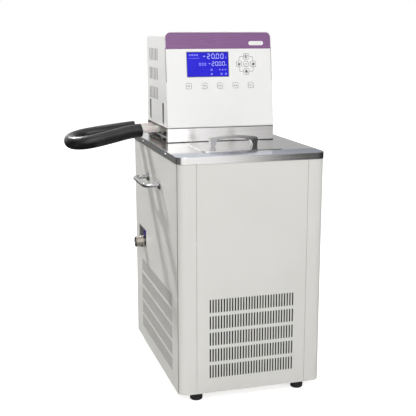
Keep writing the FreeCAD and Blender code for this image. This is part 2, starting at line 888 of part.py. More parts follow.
def on_face(name, x, depth, z):
    """A block measured in the leaning face's own directions, from its bottom edge."""
    holder = block(name, x, depth, z)
    holder.Placement = FreeCAD.Placement(Vector(), FreeCAD.Rotation(Vector(1, 0, 0), -s.head_lean.number))
    holder.setExpression("Placement.Rotation.Angle", (-s.head_lean).text)
    y, z = Size.of(depth[0]), Size.of(z[0])
    sine = tangent(s.head_lean) * cosine(s.head_lean)
    place(holder, x=x[0], y=head_front + y * cosine(s.head_lean) + z * sine,
          z=head_floor - y * sine + z * cosine(s.head_lean))
    return holder


display_x = (s.display_offset - s.display_width / 2, s.display_offset + s.display_width / 2)
display_z = (s.display_middle - s.display_height / 2, s.display_middle + s.display_height / 2)


def build_head_bezel():
    body = new_body("bezel_moulding")
    sketch = new_sketch(body, "YZ_Plane")
    side_outline(sketch, 0, head_front + s.bezel_depth, head_front + s.bezel_depth + lean_run)
    feature = pad(body, sketch, s.head_width, middle=True)
    feature = round_head_shoulders(body, feature)
    lean = math.radians(s.head_lean.number)
    front = Vector(0, -math.cos(lean), math.sin(lean))
    feature = hollow(body, feature, s.head_wall, lambda f: faces(f, 0, math.cos(lean), -math.sin(lean)))
    face = [f for f in feature.Shape.Faces if faces(f, front.x, front.y, front.z)][0]
    rim = [edge.hashCode() for edge in face.OuterWire.Edges]
    round_edges(body, feature, s.bezel_round, lambda e: e.hashCode() in rim)
    window = on_face("bezel_window", display_x, (-1, s.head_wall + 1), display_z)
    node(cut("head_bezel", body, window), "head_bezel")


# Control film: one printed sheet over the whole face, with the keys embossed in it.

def rounded_plate(body, x, z, thick, radius, lift=0):
    """Pad a plate on the face's plane towards the user and round its corners."""
    sketch = new_sketch(body, "XZ_Plane", lift=lift)
    rectangle(sketch, x, z)
    feature = pad(body, sketch, thick)
    through = Vector(0, 1, 0)
    ends = [(Size.of(a).number, Size.of(b).number) for a in x for b in z]
    return round_edges(body, feature, radius, lambda e: runs_along(e, through) and any(
        abs(e.BoundBox.XMin - a) < 0.01 and abs(e.BoundBox.ZMin - b) < 0.01 for a, b in ends))


def build_control_film():
    body = new_body("control_film")
    slope_length = s.head_height / cosine(s.head_lean)
    margin = s.film_margin
    rounded_plate(body, (head_x[0] + margin, head_x[1] - margin), (margin, slope_length - margin),
                  s.film_sheet, s.film_round)
    window = new_sketch(body, "XZ_Plane")
    rectangle(window, display_x, display_z)
    pocket(body, window, s.film_sheet * 4)
    centres = [(s.key_pitch * column, s.key_row) for column in (-2, -1, 0, 1, 2)]
    centres += [
        (s.pad_offset + s.pad_reach * across, s.pad_middle + s.pad_reach * up)
        for across, up in ((0, 1), (0, -1), (-1, 0), (1, 0), (0, 0))
    ]
    half = s.key_size / 2
    for x, z in centres:
        rounded_plate(body, (x - half, x + half), (z - half, z + half), s.key_rise, s.key_round,
                      lift=s.film_sheet)
    body.Placement = FreeCAD.Placement(Vector(), FreeCAD.Rotation(Vector(1, 0, 0), -s.head_lean.number))
    body.setExpression("Placement.Rotation.Angle", (-s.head_lean).text)
    place(body, y=head_front, z=head_floor)
    node(body, "control_film")


def build_display():
    gap = s.lens_gap
    x = (display_x[0] + gap, display_x[1] - gap)
    z = (display_z[0] + gap, display_z[1] - gap)
    lens = on_face("lens_block", x, (s.head_wall - s.lens_sheet, s.head_wall), z)
    node(lens, "display_lens")
    border = 6
    module = on_face("display_module_block", (x[0] - border, x[1] + border),
                     (s.head_wall, s.head_wall + s.module_depth), (z[0] - border, z[1] + border))
    node(module, "display_module")
    depth = s.head_wall + s.module_depth
    board = on_face("control_board_block", (head_x[0] + 20, head_x[1] - 20), (depth, depth + s.board_sheet),
                    (s.key_row - 40, display_z[1] + 20))
    node(board, "control_board")


def build_head_tray():
    edge = s.head_wall + 0.5
    y = (head_front + s.bezel_depth + 0.5, head_rear - edge)
    plate = block("tray_plate", (head_x[0] + edge, head_x[1] - edge), y,
                  (head_floor, head_floor + s.tray_sheet))
    passage = rod("tray_passage", s.shaft_radius + 4, "Z", head_floor - 1, head_floor + s.tray_sheet + 1,
                  (pump_x, pump_y))
    node(cut("head_tray", plate, passage), "head_tray")


# Service plate: carries the pump, heater and probe over the back of the tank.

plate_x = (service_x[0] - s.service_margin, service_x[1] + s.service_margin)
plate_y = (service_y[0] - s.service_margin, service_y[1] + s.service_margin)
plate_top = s.deck_height + s.service_sheet
pump_x = s.pump_offset
pump_y = from_front(s.pump_setback)
port_z = s.deck_height + s.port_height
outlet_y = from_front(s.port_setback)
return_y = outlet_y + s.port_spacing
riser_x = -s.tank_width / 5
heater_x = s.heater_offset
heater_y = (pump_y - s.housing_radius, pump_y + s.housing_radius)
probe_y = service_y[0] + 20
pump_floor = tank_floor + s.pump_lift
pump_top = pump_floor + s.housing_height


def build_service_plate():
    z = (s.deck_height, plate_top)
    plate = block("service_plate_sheet", plate_x, plate_y, z)
    deep = (z[0] - 1, z[1] + 1)
    holes = [
        rod("column_hole", s.column_radius, "Z", *deep, (pump_x, pump_y)),
        rod("outlet_hole", s.pipe_radius, "Z", *deep, (riser_x, outlet_y)),
        rod("return_hole", s.pipe_radius, "Z", *deep, (riser_x, return_y)),
        rod("heater_hole_front", s.heater_radius, "Z", *deep, (heater_x, heater_y[0])),
        rod("heater_hole_rear", s.heater_radius, "Z", *deep, (heater_x, heater_y[1])),
        rod("probe_hole", s.probe_radius, "Z", *deep, (s.probe_offset, probe_y)),
    ]
    node(cut("service_plate", plate, *holes), "service_plate")


def build_posts():
    posts = []
    inset = s.post_inset
    for column, x in enumerate((plate_x[0] + inset, plate_x[1] - inset)):
        for row, y in enumerate((plate_y[0] + inset, plate_y[1] - inset)):
            posts.append(rod(f"head_post_{column}{row}", s.post_radius, "Z", plate_top, head_floor, (x, y)))
    node(group("head_posts", posts), "head_posts")


def build_pump():
    middle = (pump_x, pump_y)
    motor_z = head_floor + s.tray_sheet
    motor = turned("pump_motor", [
        (s.shaft_radius + s.shaft_clearance, 0), (s.motor_radius, 0), (s.motor_radius, s.motor_height - 8),
        (s.motor_radius - 8, s.motor_height), (0, s.motor_height),
        (0, s.shaft_insertion + 2), (s.shaft_radius + s.shaft_clearance, s.shaft_insertion + 2),
    ], pump_x, pump_y, motor_z)
    node(motor, "pump_motor")
    column_top = plate_top + 10
    column = rod("column_outside", s.column_radius, "Z", pump_top, column_top, middle)
    column_bore = rod("column_inside", s.column_radius - s.column_wall, "Z", pump_top - 1, column_top + 1,
                      middle)
    node(cut("pump_column", column, column_bore), "pump_column")

    wall = s.housing_wall
    outside = rod("housing_outside", s.housing_radius, "Z", pump_floor, pump_top, middle)
    boss_x = (pump_x - s.housing_radius - 6, pump_x)
    boss = rod("housing_boss", s.pipe_radius + 3, "X", *boss_x, (outlet_y, pump_middle))
    inside = rod("housing_inside", s.housing_radius - wall, "Z", pump_floor + wall, pump_top - wall, middle)
    eye = rod("housing_eye", s.column_radius - s.column_wall, "Z", pump_floor - 1, pump_floor + wall + 1,
              middle)
    throat = rod("housing_throat", s.shaft_radius + 1, "Z", pump_top - wall - 1, pump_top + 1, middle)
    bore = rod("housing_outlet", s.pipe_radius, "X", boss_x[0] - 1, pump_x, (outlet_y, pump_middle))
    node(cut("pump_housing", join("housing_body", outside, boss), inside, eye, throat, bore), "pump_housing")

    shaft_low = pump_floor + wall + s.impeller_gap
    shaft = rod("pump_shaft_rod", s.shaft_radius, "Z", shaft_low, motor_z + s.shaft_insertion, middle)
    node(shaft, "pump_shaft")
    impeller_radius = s.housing_radius - wall - s.impeller_gap
    impeller_top = pump_top - wall - s.impeller_gap
    hub = rod("impeller_hub", s.shaft_radius + 4, "Z", shaft_low, impeller_top, middle)
    disc = rod("impeller_disc", impeller_radius, "Z", impeller_top - 3, impeller_top, middle)
    vanes = []
    count = int(s.vane_count.number)
    for number in range(count):
        vane = block(f"impeller_vane_{number}", (s.shaft_radius, impeller_radius - 1), (-1, 1),
                     (shaft_low + 2, impeller_top - 2))
        turn = FreeCAD.Rotation(Vector(0, 0, 1), 360.0 * number / count)
        reach = s.shaft_radius
        spoke = turn.multVec(Vector(1, 0, 0))
        side = turn.multVec(Vector(0, -1, 0))
        vane.Placement = FreeCAD.Placement(Vector(), turn)
        place(vane, pump_x + reach * spoke.x + side.x, pump_y + reach * spoke.y + side.y, shaft_low + 2)
        vanes.append(vane)
    solid = join("impeller_solid", hub, disc, *vanes)
    bore = rod("impeller_bore", s.shaft_radius, "Z", shaft_low - 1, impeller_top + 1, middle)
    node(cut("pump_impeller", solid, bore), "pump_impeller")


pump_middle = (pump_floor + pump_top) / 2


# Pipes and tubes: straight runs joined by tangent arcs.

def point(x, y, z):
    return Vector(Size.of(x).number, Size.of(y).number, Size.of(z).number)


def arc_radius(before, corner, after, share=0.45):
    """The largest even arc at a corner: a share of the shorter run over the tangent of half the turn."""
    run_in, run_out = corner - before, after - corner
    turn = run_in.getAngle(run_out)
    return share * min(run_in.Length, run_out.Length) / math.tan(turn / 2)


def route(points, radii):
    """Edges of a path through the points, with an arc of each radius at the inner corners."""
    edges = []
    start = points[0]
    for before, corner, after, radius in zip(points, points[1:], points[2:], radii):
        run_in = (corner - before).normalize()
        run_out = (after - corner).normalize()
        turn = run_in.getAngle(run_out)
        reach = radius * math.tan(turn / 2)
        enter = corner - run_in * reach
        leave = corner + run_out * reach
        inward = (run_out - run_in).normalize()
        middle = corner + inward * (radius / math.cos(turn / 2) - radius)
        edges.append(Part.makeLine(start, enter))
        edges.append(Part.Arc(enter, middle, leave).toShape())
        start = leave
    edges.append(Part.makeLine(start, points[-1]))
    return edges


def sweep(edges, radius):
    start = edges[0].Vertexes[0].Point
    ahead = edges[0].Vertexes[1].Point - start
    section = Part.Wire([Part.makeCircle(radius, start, ahead)])
    return Part.Wire(edges).makePipeShell([section], True, False).Solids[0]


def tube(label, edges, outer, inner=None):
    shape = sweep(edges, outer)
    if inner:
        shape = shape.cut(sweep(edges, inner)).Solids[0]
    feature = document.addObject("Part::Feature", label)
    feature.Shape = shape
    node(feature, label)
    return feature


def build_pump_pipes():
    bend = s.pipe_bend.number
    outer, inner = s.pipe_radius.number, s.pipe_radius.number - s.pipe_wall.number
    start = pump_x - s.housing_radius
    outlet = route([
        point(start, outlet_y, pump_middle), point(riser_x, outlet_y, pump_middle),
        point(riser_x, outlet_y, port_z), point(-s.port_reach, outlet_y, port_z),
    ], [bend, bend])
    tube("outlet_pipe", outlet, outer, inner)
    back = route([
        point(riser_x, return_y, pump_top), point(riser_x, return_y, port_z),
        point(-s.port_reach, return_y, port_z),
    ], [bend])
    tube("return_pipe", back, outer, inner)


def build_heater():
    bend = s.heater_bend.number
    low = pump_floor
    top = plate_top + 14
    path = route([
        point(heater_x, heater_y[0], top), point(heater_x, heater_y[0], low),
        point(heater_x, heater_y[1], low), point(heater_x, heater_y[1], top),
    ], [bend, bend])
    tube("heater", path, s.heater_radius.number)


def build_probe():
    stem = rod("probe_stem", s.probe_radius, "Z", tank_floor + 40, plate_top + 4, (s.probe_offset, probe_y))
    head = rod("probe_head", s.probe_radius + 3, "Z", plate_top, plate_top + 10, (s.probe_offset, probe_y))
    node(join("temperature_probe", stem, head), "temperature_probe")


# Hose loop: a clear tube from port to port, with foam insulation outside the cabinet.
# Each corner is (X, Y, Z); the loop droops a little under its own weight.

HOSE_CORNERS = [
    (-104.0, 105.0, 571.5), (-143.0, 105.0, 571.5), (-200.0, 104.0, 566.0), (-252.0, 98.0, 554.5),
    (-305.0, 92.0, 544.5), (-337.0, 125.0, 540.5), (-337.0, 171.0, 543.5), (-305.0, 204.0, 549.0),
    (-252.0, 199.0, 557.0), (-200.0, 181.0, 565.5), (-146.0, 170.0, 571.5), (-104.0, 170.0, 571.5),
]
FOAM_START_X = -170.0
FOAM_END_X = -171.0


def hose_edges():
    corners = [Vector(*corner) for corner in HOSE_CORNERS]
    radii = [arc_radius(*trio) for trio in zip(corners, corners[1:], corners[2:])]
    print("hose radii, mm:", " ".join(f"{radius:.0f}" for radius in radii))
    return route(corners, radii)


def at_x(edge, x):
    """The point of a straight edge at a given x."""
    start, end = [vertex.Point for vertex in edge.Vertexes]
    return start + (end - start) * ((x - start.x) / (end.x - start.x))


def build_hose():
    edges = hose_edges()
    outer = s.tube_radius.number
    length = sum(edge.Length for edge in edges)
    clear = tube("clear_tube", edges, outer, outer - s.tube_wall.number)
    print(f"clear tube length {length:.0f} mm, volume {clear.Shape.Volume:.0f} mm3, "
          f"section times length {math.pi * (outer ** 2 - (outer - s.tube_wall.number) ** 2) * length:.0f}")
    covered = edges[2:-2]
    covered[0] = Part.makeLine(at_x(covered[0], FOAM_START_X), covered[0].Vertexes[1].Point)
    covered[-1] = Part.makeLine(covered[-1].Vertexes[0].Point, at_x(covered[-1], FOAM_END_X))
    tube("hose_insulation", covered, s.foam_radius.number, outer + s.foam_gap.number)


# Carrying handles: a bent chromed bar on each side, with a turned rosette round each end.

def build_bar():
    body = new_body("right_handle")
    path = new_sketch(body, "XY_Plane")
    out = s.grip_reach - s.grip_radius
    half = s.grip_spacing / 2
    run = out - s.grip_bend
    lines = [
        ((0, -half), (run, -half)),
        ((out, -half + s.grip_bend), (out, half - s.grip_bend)),
        ((run, half), (0, half)),
    ]
    for start, end in lines:
        ends = [Vector(Size.of(x).number, Size.of(y).number, 0) for x, y in (start, end)]
        index = path.addGeometry(Part.LineSegment(*ends), False)
        fix_point(path, index, 1, *start)
        fix_point(path, index, 2, *end)
    knee = math.sqrt(0.5) * s.grip_bend.number
    for sign, first, second in ((-1, 0, 1), (1, 1, 2)):
        centre = Vector(run.number, (half.number - s.grip_bend.number) * sign, 0)
        start = path.Geometry[first].EndPoint
        end = path.Geometry[second].StartPoint
        index = path.addGeometry(Part.Arc(start, centre + Vector(knee, knee * sign, 0), end), False)
        path.addConstraint(Sketcher.Constraint("Coincident", first, 2, index, 1))
        path.addConstraint(Sketcher.Constraint("Coincident", second, 1, index, 2))
        rule = path.addConstraint(Sketcher.Constraint("Radius", index, s.grip_bend.number))
        path.setExpression(f"Constraints[{rule}]", s.grip_bend.text)
    section = new_sketch(body, "YZ_Plane")
    circle(section, -half, 0, s.grip_radius)
    document.recompute()
    pipe = body.newObject("PartDesign::AdditivePipe", "handle_bar")
    pipe.Profile = section
    pipe.Spine = (path, [f"Edge{i}" for i in range(1, 6)])
    return place(body, x=half_width, z=s.grip_height)


def mirrored(name, source):
    """The same piece on the other side of the cabinet."""
    mirror = document.addObject("Part::Mirroring", name)
    mirror.Source = source
    mirror.Normal = Vector(1, 0, 0)
    return mirror


def build_handles():
    bar = build_bar()
    node(bar, "right_handle")
    node(mirrored("left_bar", bar), "left_handle")
    rosettes = []
    for number, sign in enumerate((-1, 1)):
        rosette = turned(f"rosette_{number}", [
            (s.grip_radius, 0), (s.rosette_radius, 0), (s.rosette_radius, s.rosette_height / 3),
            (s.grip_radius + 2.5, s.rosette_height), (s.grip_radius, s.rosette_height),
        ], half_width, s.grip_spacing / 2 * sign, s.grip_height)
        rosette.Placement = FreeCAD.Placement(Vector(), FreeCAD.Rotation(Vector(0, 1, 0), 90))
        rosettes.append(rosette)
    pair = group("rosette_pair", rosettes)
    node(pair, "right_rosettes")
    node(mirrored("left_pair", pair), "left_rosettes")


# Drain: a pocket in the left panel with a valve, its spout and a quarter-turn lever.

spout_y = from_front(s.spout_setback)
drain_y = (from_front(s.drain_setback), from_front(s.drain_setback + s.drain_width))
drain_z = (s.drain_base, s.drain_base + s.drain_tall)
drain_back = -half_width + s.drain_depth
drain_riser_x = -s.tank_width / 4
valve_x = (drain_back - s.drain_wall - s.valve_length, drain_back - s.drain_wall)
spout_z = drain_z[0] + s.drain_fit * 2 + s.drain_wall + s.spout_neck + 0.1
valve_top = spout_z + s.valve_size / 2
stem_x = valve_x[0] + s.stem_setback


def build_drain():
    fit, wall, lip = s.drain_fit, s.drain_wall, s.drain_lip
    x = (-half_width, drain_back)
    y = (drain_y[0] + fit, drain_y[1] - fit)
    z = (drain_z[0] + fit, drain_z[1] - fit)
    whole = block("drain_box_whole", x, y, z)
    flange = block("drain_box_flange", (-inner_half_width, -inner_half_width + wall),
                   (y[0] - lip, y[1] + lip), (z[0] - lip, z[1] + lip))
    hollowed = block("drain_box_inside", (x[0] - 1, x[1] - wall), (y[0] + wall, y[1] - wall),
                     (z[0] + wall, z[1] - wall))
    passage = rod("drain_box_passage", s.drain_pipe_radius, "X", x[1] - wall - 1, x[1] + 1,
                  (spout_y, spout_z))
    node(cut("drain_box", join("drain_box_shell", whole, flange), hollowed, passage), "drain_box")

    half = s.valve_size / 2
    valve = block("valve_block", valve_x, (spout_y - half, spout_y + half),
                  (spout_z - half, valve_top))
    across = (spout_y, spout_z)
    spout = rod("valve_spout", s.spout_radius, "X", -half_width - s.spout_reach,
                -half_width - s.spout_standoff, across)
    throat = rod("valve_throat", s.spout_neck, "X", -half_width - s.spout_standoff - 1,
                 valve_x[0] + 1, across)
    bore = rod("valve_bore", s.spout_bore, "X", -half_width - s.spout_reach - 1, valve_x[0], across)
    neck = rod("valve_neck", s.shaft_radius + 2, "Z", valve_top - 1, valve_top + 3, (stem_x, spout_y))
    stem_hole = rod("valve_stem_hole", 2.5 + s.shaft_clearance, "Z", valve_top - 6, valve_top + 4,
                    (stem_x, spout_y))
    body = join("drain_valve_body", valve, spout, throat, neck)
    node(cut("drain_valve", body, bore, stem_hole), "drain_valve")

    lever_z = (valve_top + 3.3, valve_top + 3.3 + s.lever_tall)
    half = s.lever_width / 2
    tip_x = stem_x - s.lever_length + half
    bar = block("lever_bar", (tip_x, stem_x), (spout_y - half, spout_y + half), lever_z)
    ends = [
        rod(f"lever_end_{number}", half, "Z", *lever_z, (x, spout_y))
        for number, x in enumerate((tip_x, stem_x))
    ]
    stem = rod("lever_stem", 2.5, "Z", valve_top - 5.7, lever_z[1], (stem_x, spout_y))
    node(join("drain_lever", bar, *ends, stem), "drain_lever")

    path = route([
        point(valve_x[1], spout_y, spout_z), point(drain_riser_x, spout_y, spout_z),
        point(drain_riser_x, spout_y, tank_floor),
    ], [s.drain_pipe_radius.number * 2.5])
    tube("drain_pipe", path, s.drain_pipe_radius.number, s.drain_pipe_radius.number - 1.5)


# Refrigeration: dust filter, condenser, fan in its ring, compressor, drier and copper lines.

condenser_x = (-s.condenser_width / 2, s.condenser_width / 2)
condenser_z = (base_floor, base_floor + s.condenser_height)
filter_y = (-inner_half_depth + s.base_sheet, -inner_half_depth + s.base_sheet + s.filter_sheet)
condenser_y = (filter_y[1], filter_y[1] + s.condenser_depth)
fan_z = (condenser_z[0] + condenser_z[1]) / 2
shroud_y = (condenser_y[1], condenser_y[1] + s.fan_ring_sheet)
ring_end = condenser_y[1] + s.fan_ring_depth
bracket_y = (ring_end, ring_end + 3)


def build_condenser():
    node(block("condenser_filter_sheet", condenser_x, filter_y, condenser_z), "condenser_filter")
    cheek = 3
    core = block("condenser_core", condenser_x, condenser_y, condenser_z)
    count = int(s.fin_count.number)
    pitch = (s.condenser_height - cheek * 2) / s.fin_count
    gaps = []
    for number in range(count):
        low = condenser_z[0] + cheek + pitch * number + (pitch - s.fin_gap) / 2
        gaps.append(block(f"fin_gap_{number}", (condenser_x[0] + cheek, condenser_x[1] - cheek),
                          (condenser_y[0] - 1, condenser_y[0] + s.condenser_depth / 3),
                          (low, low + s.fin_gap)))
    node(cut("condenser", core, *gaps), "condenser")


def build_fan():
    inner = s.fan_radius + s.fan_ring_gap
    outer = inner + s.fan_ring_sheet
    plate = block("shroud_plate", condenser_x, shroud_y, condenser_z)
    ring = rod("shroud_ring", outer, "Y", shroud_y[0], ring_end, (0, fan_z))
    hole = rod("shroud_hole", inner, "Y", shroud_y[0] - 1, ring_end + 1, (0, fan_z))
    node(cut("fan_shroud", join("fan_shroud_solid", plate, ring), hole), "fan_shroud")

    bar = block("fan_bracket_bar", (-outer, outer), bracket_y, (fan_z - 14, fan_z + 14))
    hole = rod("fan_bracket_hole", s.fan_shaft_radius + 2, "Y", bracket_y[0] - 1, bracket_y[1] + 1,
               (0, fan_z))
    node(cut("fan_bracket", bar, hole), "fan_bracket")

    motor_y = (bracket_y[1], bracket_y[1] + s.fan_motor_depth)
    can = rod("fan_motor_can", s.fan_motor_radius, "Y", *motor_y, (0, fan_z))
    socket = rod("fan_motor_socket", s.fan_shaft_radius + s.shaft_clearance, "Y", motor_y[0] - 1,
                 motor_y[0] + s.fan_motor_depth / 2 + 1, (0, fan_z))
    node(cut("fan_motor", can, socket), "fan_motor")

    hub_y = (shroud_y[1] + 5, bracket_y[0] - 4)
    shaft = rod("fan_shaft_rod", s.fan_shaft_radius, "Y", hub_y[0], motor_y[0] + s.fan_motor_depth / 2,
                (0, fan_z))
    node(shaft, "fan_shaft")
    hub = rod("fan_hub", s.fan_hub_radius, "Y", *hub_y, (0, fan_z))
    blades = []
    count = int(s.fan_blades.number)
    for number in range(count):
        blade = block(f"fan_blade_{number}", (-23, 23), (-0.8, 0.8), (0, s.fan_radius))
        pitch = FreeCAD.Rotation(Vector(0, 0, 1), s.fan_blade_pitch.number)
        spoke = FreeCAD.Rotation(Vector(0, 1, 0), 360.0 * number / count)
        turn = spoke.multiply(pitch)
        corner = turn.multVec(Vector(-23, -0.8, 0))
        blade.Placement = FreeCAD.Placement(Vector(), turn)
        place(blade, corner.x, (hub_y[0] + hub_y[1]) / 2 + corner.y, fan_z + corner.z)
        blades.append(blade)
    swept = rod("fan_swept", s.fan_radius, "Y", hub_y[0] - 4, hub_y[1] + 2, (0, fan_z))
    trimmed = document.addObject("Part::Common", "fan_blades_trimmed")
    trimmed.Base = join("fan_blades_raw", *blades)
    trimmed.Tool = swept
    bore = rod("fan_bore", s.fan_shaft_radius, "Y", hub_y[0] - 5, hub_y[1] + 5, (0, fan_z))
    node(cut("fan_rotor", join("fan_solid", hub, trimmed), bore), "fan_rotor")


compressor_x = s.compressor_offset
compressor_y = from_front(s.compressor_setback)
line_start = base_floor + s.compressor_height + 8
suction_x = tank_x[0] + s.tank_width / 2
suction_y = tank_y[1] + s.coil_thick / 2


def build_compressor():
    radius, tall = s.compressor_radius, s.compressor_height
    can = turned("compressor_can", [
        (0, 12), (radius - 12, 12), (radius, 24), (radius, tall * 0.45), (radius + 3, tall * 0.45),
        (radius + 3, tall * 0.45 + 4), (radius, tall * 0.45 + 4), (radius, tall - 24),
        (radius - 20, tall - 6), (0, tall),
    ], compressor_x, compressor_y, base_floor)
    plate = block("compressor_plate", (compressor_x - radius, compressor_x + radius),
                  (compressor_y - radius, compressor_y + radius), (base_floor + 9, base_floor + 12))
    mounts = [
        rod(f"compressor_mount_{a + 1}{b + 1}", 8, "Z", base_floor, base_floor + 9,
            (compressor_x + (radius - 12) * a, compressor_y + (radius - 12) * b))
        for a in (-1, 1) for b in (-1, 1)
    ]
    stubs = [
        rod(f"compressor_stub_{number}", 4.5, "Z", base_floor + tall - 10, line_start,
            (compressor_x + offset, compressor_y))
        for number, offset in enumerate((-20, 20))
    ]
    node(join("compressor", can, plate, *stubs), "compressor")
    node(group("compressor_mounts", mounts), "compressor_mounts")


def build_lines():
    """Discharge line to the condenser, suction line from the cooling coil, and the drier between them."""
    bore = s.line_radius.number
    bend = bore * 4
    top = base_floor + s.compressor_height
    side = compressor_x - s.compressor_radius
    discharge = route([
        point(compressor_x - 20, compressor_y, line_start), point(compressor_x - 20, compressor_y, top + 40),
        point(side - 8, compressor_y, top + 40), point(side - 8, condenser_y[1] - 12, top + 40),
        point(side - 8, condenser_y[1] - 12, condenser_z[1] - 20),
        point(condenser_x[0], condenser_y[1] - 12, condenser_z[1] - 20),
    ], [bend] * 4)
    tube("discharge_line", discharge, bore)
    suction = route([
        point(suction_x, suction_y, tank_floor + s.tank_round), point(suction_x, suction_y, top + 70),
        point(compressor_x + 20, suction_y, top + 70), point(compressor_x + 20, compressor_y, top + 70),
        point(compressor_x + 20, compressor_y, line_start),
    ], [bend] * 3)
    tube("suction_line", suction, bore)
    drier_x = condenser_x[1] + s.drier_radius
    drier_y = condenser_y[1] - s.drier_radius
    drier = turned("filter_drier", [
        (0, 0), (4, 0), (s.drier_radius, 10), (s.drier_radius, 90), (4, 100), (0, 100),
    ], drier_x, drier_y, base_floor + 40)
    node(drier, "filter_drier")


# Electrical parts: power box on the base, mains inlet and rocker switch in the rear panel.

def build_power_parts():
    right = half_width - s.panel_sheet - s.base_sheet
    rear = half_depth - s.panel_sheet - s.base_sheet
    power_box = block("power_box_block", (right - s.power_box_width, right - 4),
                      (rear - s.power_box_depth - 4, rear - 4), (base_floor, base_floor + s.power_box_height))
    node(power_box, "power_box")

    flush = skirt_half_depth
    wide, tall = INLET_BODY
    x, z = s.inlet_offset, inlet_z
    flange = block("inlet_flange", (x - wide / 2 - 8, x + wide / 2 + 8), (half_depth, flush),
                   (z - tall / 2 - 3, z + tall / 2 + 3))
    shell = block("inlet_shell", (x - wide / 2 + 0.2, x + wide / 2 - 0.2), (half_depth - 24, half_depth),
                  (z - tall / 2 + 0.2, z + tall / 2 - 0.2))
    cavity = block("inlet_cavity", (x - wide / 2 + 2, x + wide / 2 - 2), (half_depth - 20, flush + 1),
                   (z - tall / 2 + 2, z + tall / 2 - 2))
    pins = [
        block(f"inlet_pin_{number}", (x + offset - 1, x + offset + 1), (half_depth - 21, half_depth - 4),
              (z + rise - 2.5, z + rise + 2.5))
        for number, (offset, rise) in enumerate(((-7, -2), (0, 2), (7, -2)))
    ]
    solid = join("inlet_solid", flange, shell)
    node(join("power_inlet_whole", cut("inlet_hollow", solid, cavity), *pins), "power_inlet")

    wide, tall = SWITCH_BODY
    x, fit = s.switch_offset, s.switch_fit
    frame = block("switch_flange", (x - wide / 2 - 2, x + wide / 2 + 2), (half_depth, flush),
                  (z - tall / 2 - 2, z + tall / 2 + 2))
    shell = block("switch_shell", (x - wide / 2 + 0.2, x + wide / 2 - 0.2), (half_depth - 20, half_depth),
                  (z - tall / 2 + 0.2, z + tall / 2 - 0.2))
    well = block("switch_well", (x - wide / 2 + 2, x + wide / 2 - 2), (half_depth - 10, flush + 1),
                 (z - tall / 2 + 2, z + tall / 2 - 2))
    pivot_y = half_depth - 5
    pivots = rod("switch_pivot_holes", 1.5 + s.shaft_clearance, "X", x - wide / 2 + 0.8, x + wide / 2 - 0.8,
                 (pivot_y, z))
    node(cut("switch_frame", join("switch_solid", frame, shell), well, pivots), "switch_frame")

    body = new_body("rocker_key")
    sketch = new_sketch(body, "YZ_Plane")
    reach = tall / 2 - 2 - fit.number - 1.2
    outline(sketch, [
        (-3, -2), (2.2, -reach), (4.2, -reach + 0.5), (2.6, 0), (4.2, reach - 0.5), (2.2, reach), (-3, 2),
    ])
    pad(body, sketch, wide - 4 - fit * 2, middle=True)
    body.Placement = FreeCAD.Placement(Vector(), FreeCAD.Rotation(Vector(1, 0, 0), 8))
    bind(body, Placement_Rotation_Angle=s.switch_tilt)
    place(body, x, pivot_y, z)
    pin = rod("rocker_pin", 1.5, "X", x - wide / 2 + 1, x + wide / 2 - 1, (pivot_y, z))
    node(join("power_rocker_whole", body, pin), "power_rocker")


build_base_pan()
build_feet()
build_side_panel(LEFT, "left_side_panel")
build_side_panel(RIGHT, "right_side_panel")
build_front_panel()
build_rear_panel()
build_deck()
build_deck_screws()
build_lid()
build_lid_handle()
build_tank()
build_cooling_coil()
build_tank_insulation()
build_head_collar()
build_head_cover()
build_head_bezel()
build_control_film()
build_display()
build_head_tray()
build_service_plate()
build_posts()
build_pump()
build_pump_pipes()
build_heater()
build_probe()
build_hose()
build_handles()
build_drain()
build_condenser()
build_fan()
build_compressor()
build_lines()
build_power_parts()

document.recompute()

# Check every object before anything is written

problems = [
    f"{thing.Name}: {state}" for thing in document.Objects for state in thing.State
    if state in ("Invalid", "Error")
]
for thing in nodes:
    if thing.Shape.isNull() or not thing.Shape.isValid():
        problems.append(f"{thing.Label}: empty or invalid shape")
if problems:
    raise RuntimeError("; ".join(problems))

os.makedirs("parts", exist_ok=True)
for thing in nodes:
    thing.Shape.exportStep(f"parts/{thing.Label}.step")
print(f"{len(nodes)} parts written")
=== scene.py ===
import math

import bpy
from mathutils import Matrix, Vector


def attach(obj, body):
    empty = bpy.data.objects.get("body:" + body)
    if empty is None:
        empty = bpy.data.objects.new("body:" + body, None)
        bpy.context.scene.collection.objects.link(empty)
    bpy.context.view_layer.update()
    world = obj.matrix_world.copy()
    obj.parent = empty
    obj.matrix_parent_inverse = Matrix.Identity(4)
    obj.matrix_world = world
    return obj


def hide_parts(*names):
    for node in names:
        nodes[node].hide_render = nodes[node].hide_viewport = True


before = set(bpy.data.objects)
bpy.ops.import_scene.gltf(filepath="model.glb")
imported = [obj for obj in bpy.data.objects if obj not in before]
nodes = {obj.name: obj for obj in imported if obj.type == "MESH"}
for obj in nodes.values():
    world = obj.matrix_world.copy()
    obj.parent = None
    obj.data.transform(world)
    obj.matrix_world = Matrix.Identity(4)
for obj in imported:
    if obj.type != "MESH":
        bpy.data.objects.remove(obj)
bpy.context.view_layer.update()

# Studio: a pale floor that runs out to a white ground, under plain soft light.
# The camera looks slightly down on the front left corner of the cabinet.
# Bright and dark cards in the floor and the world show in the steel alone.

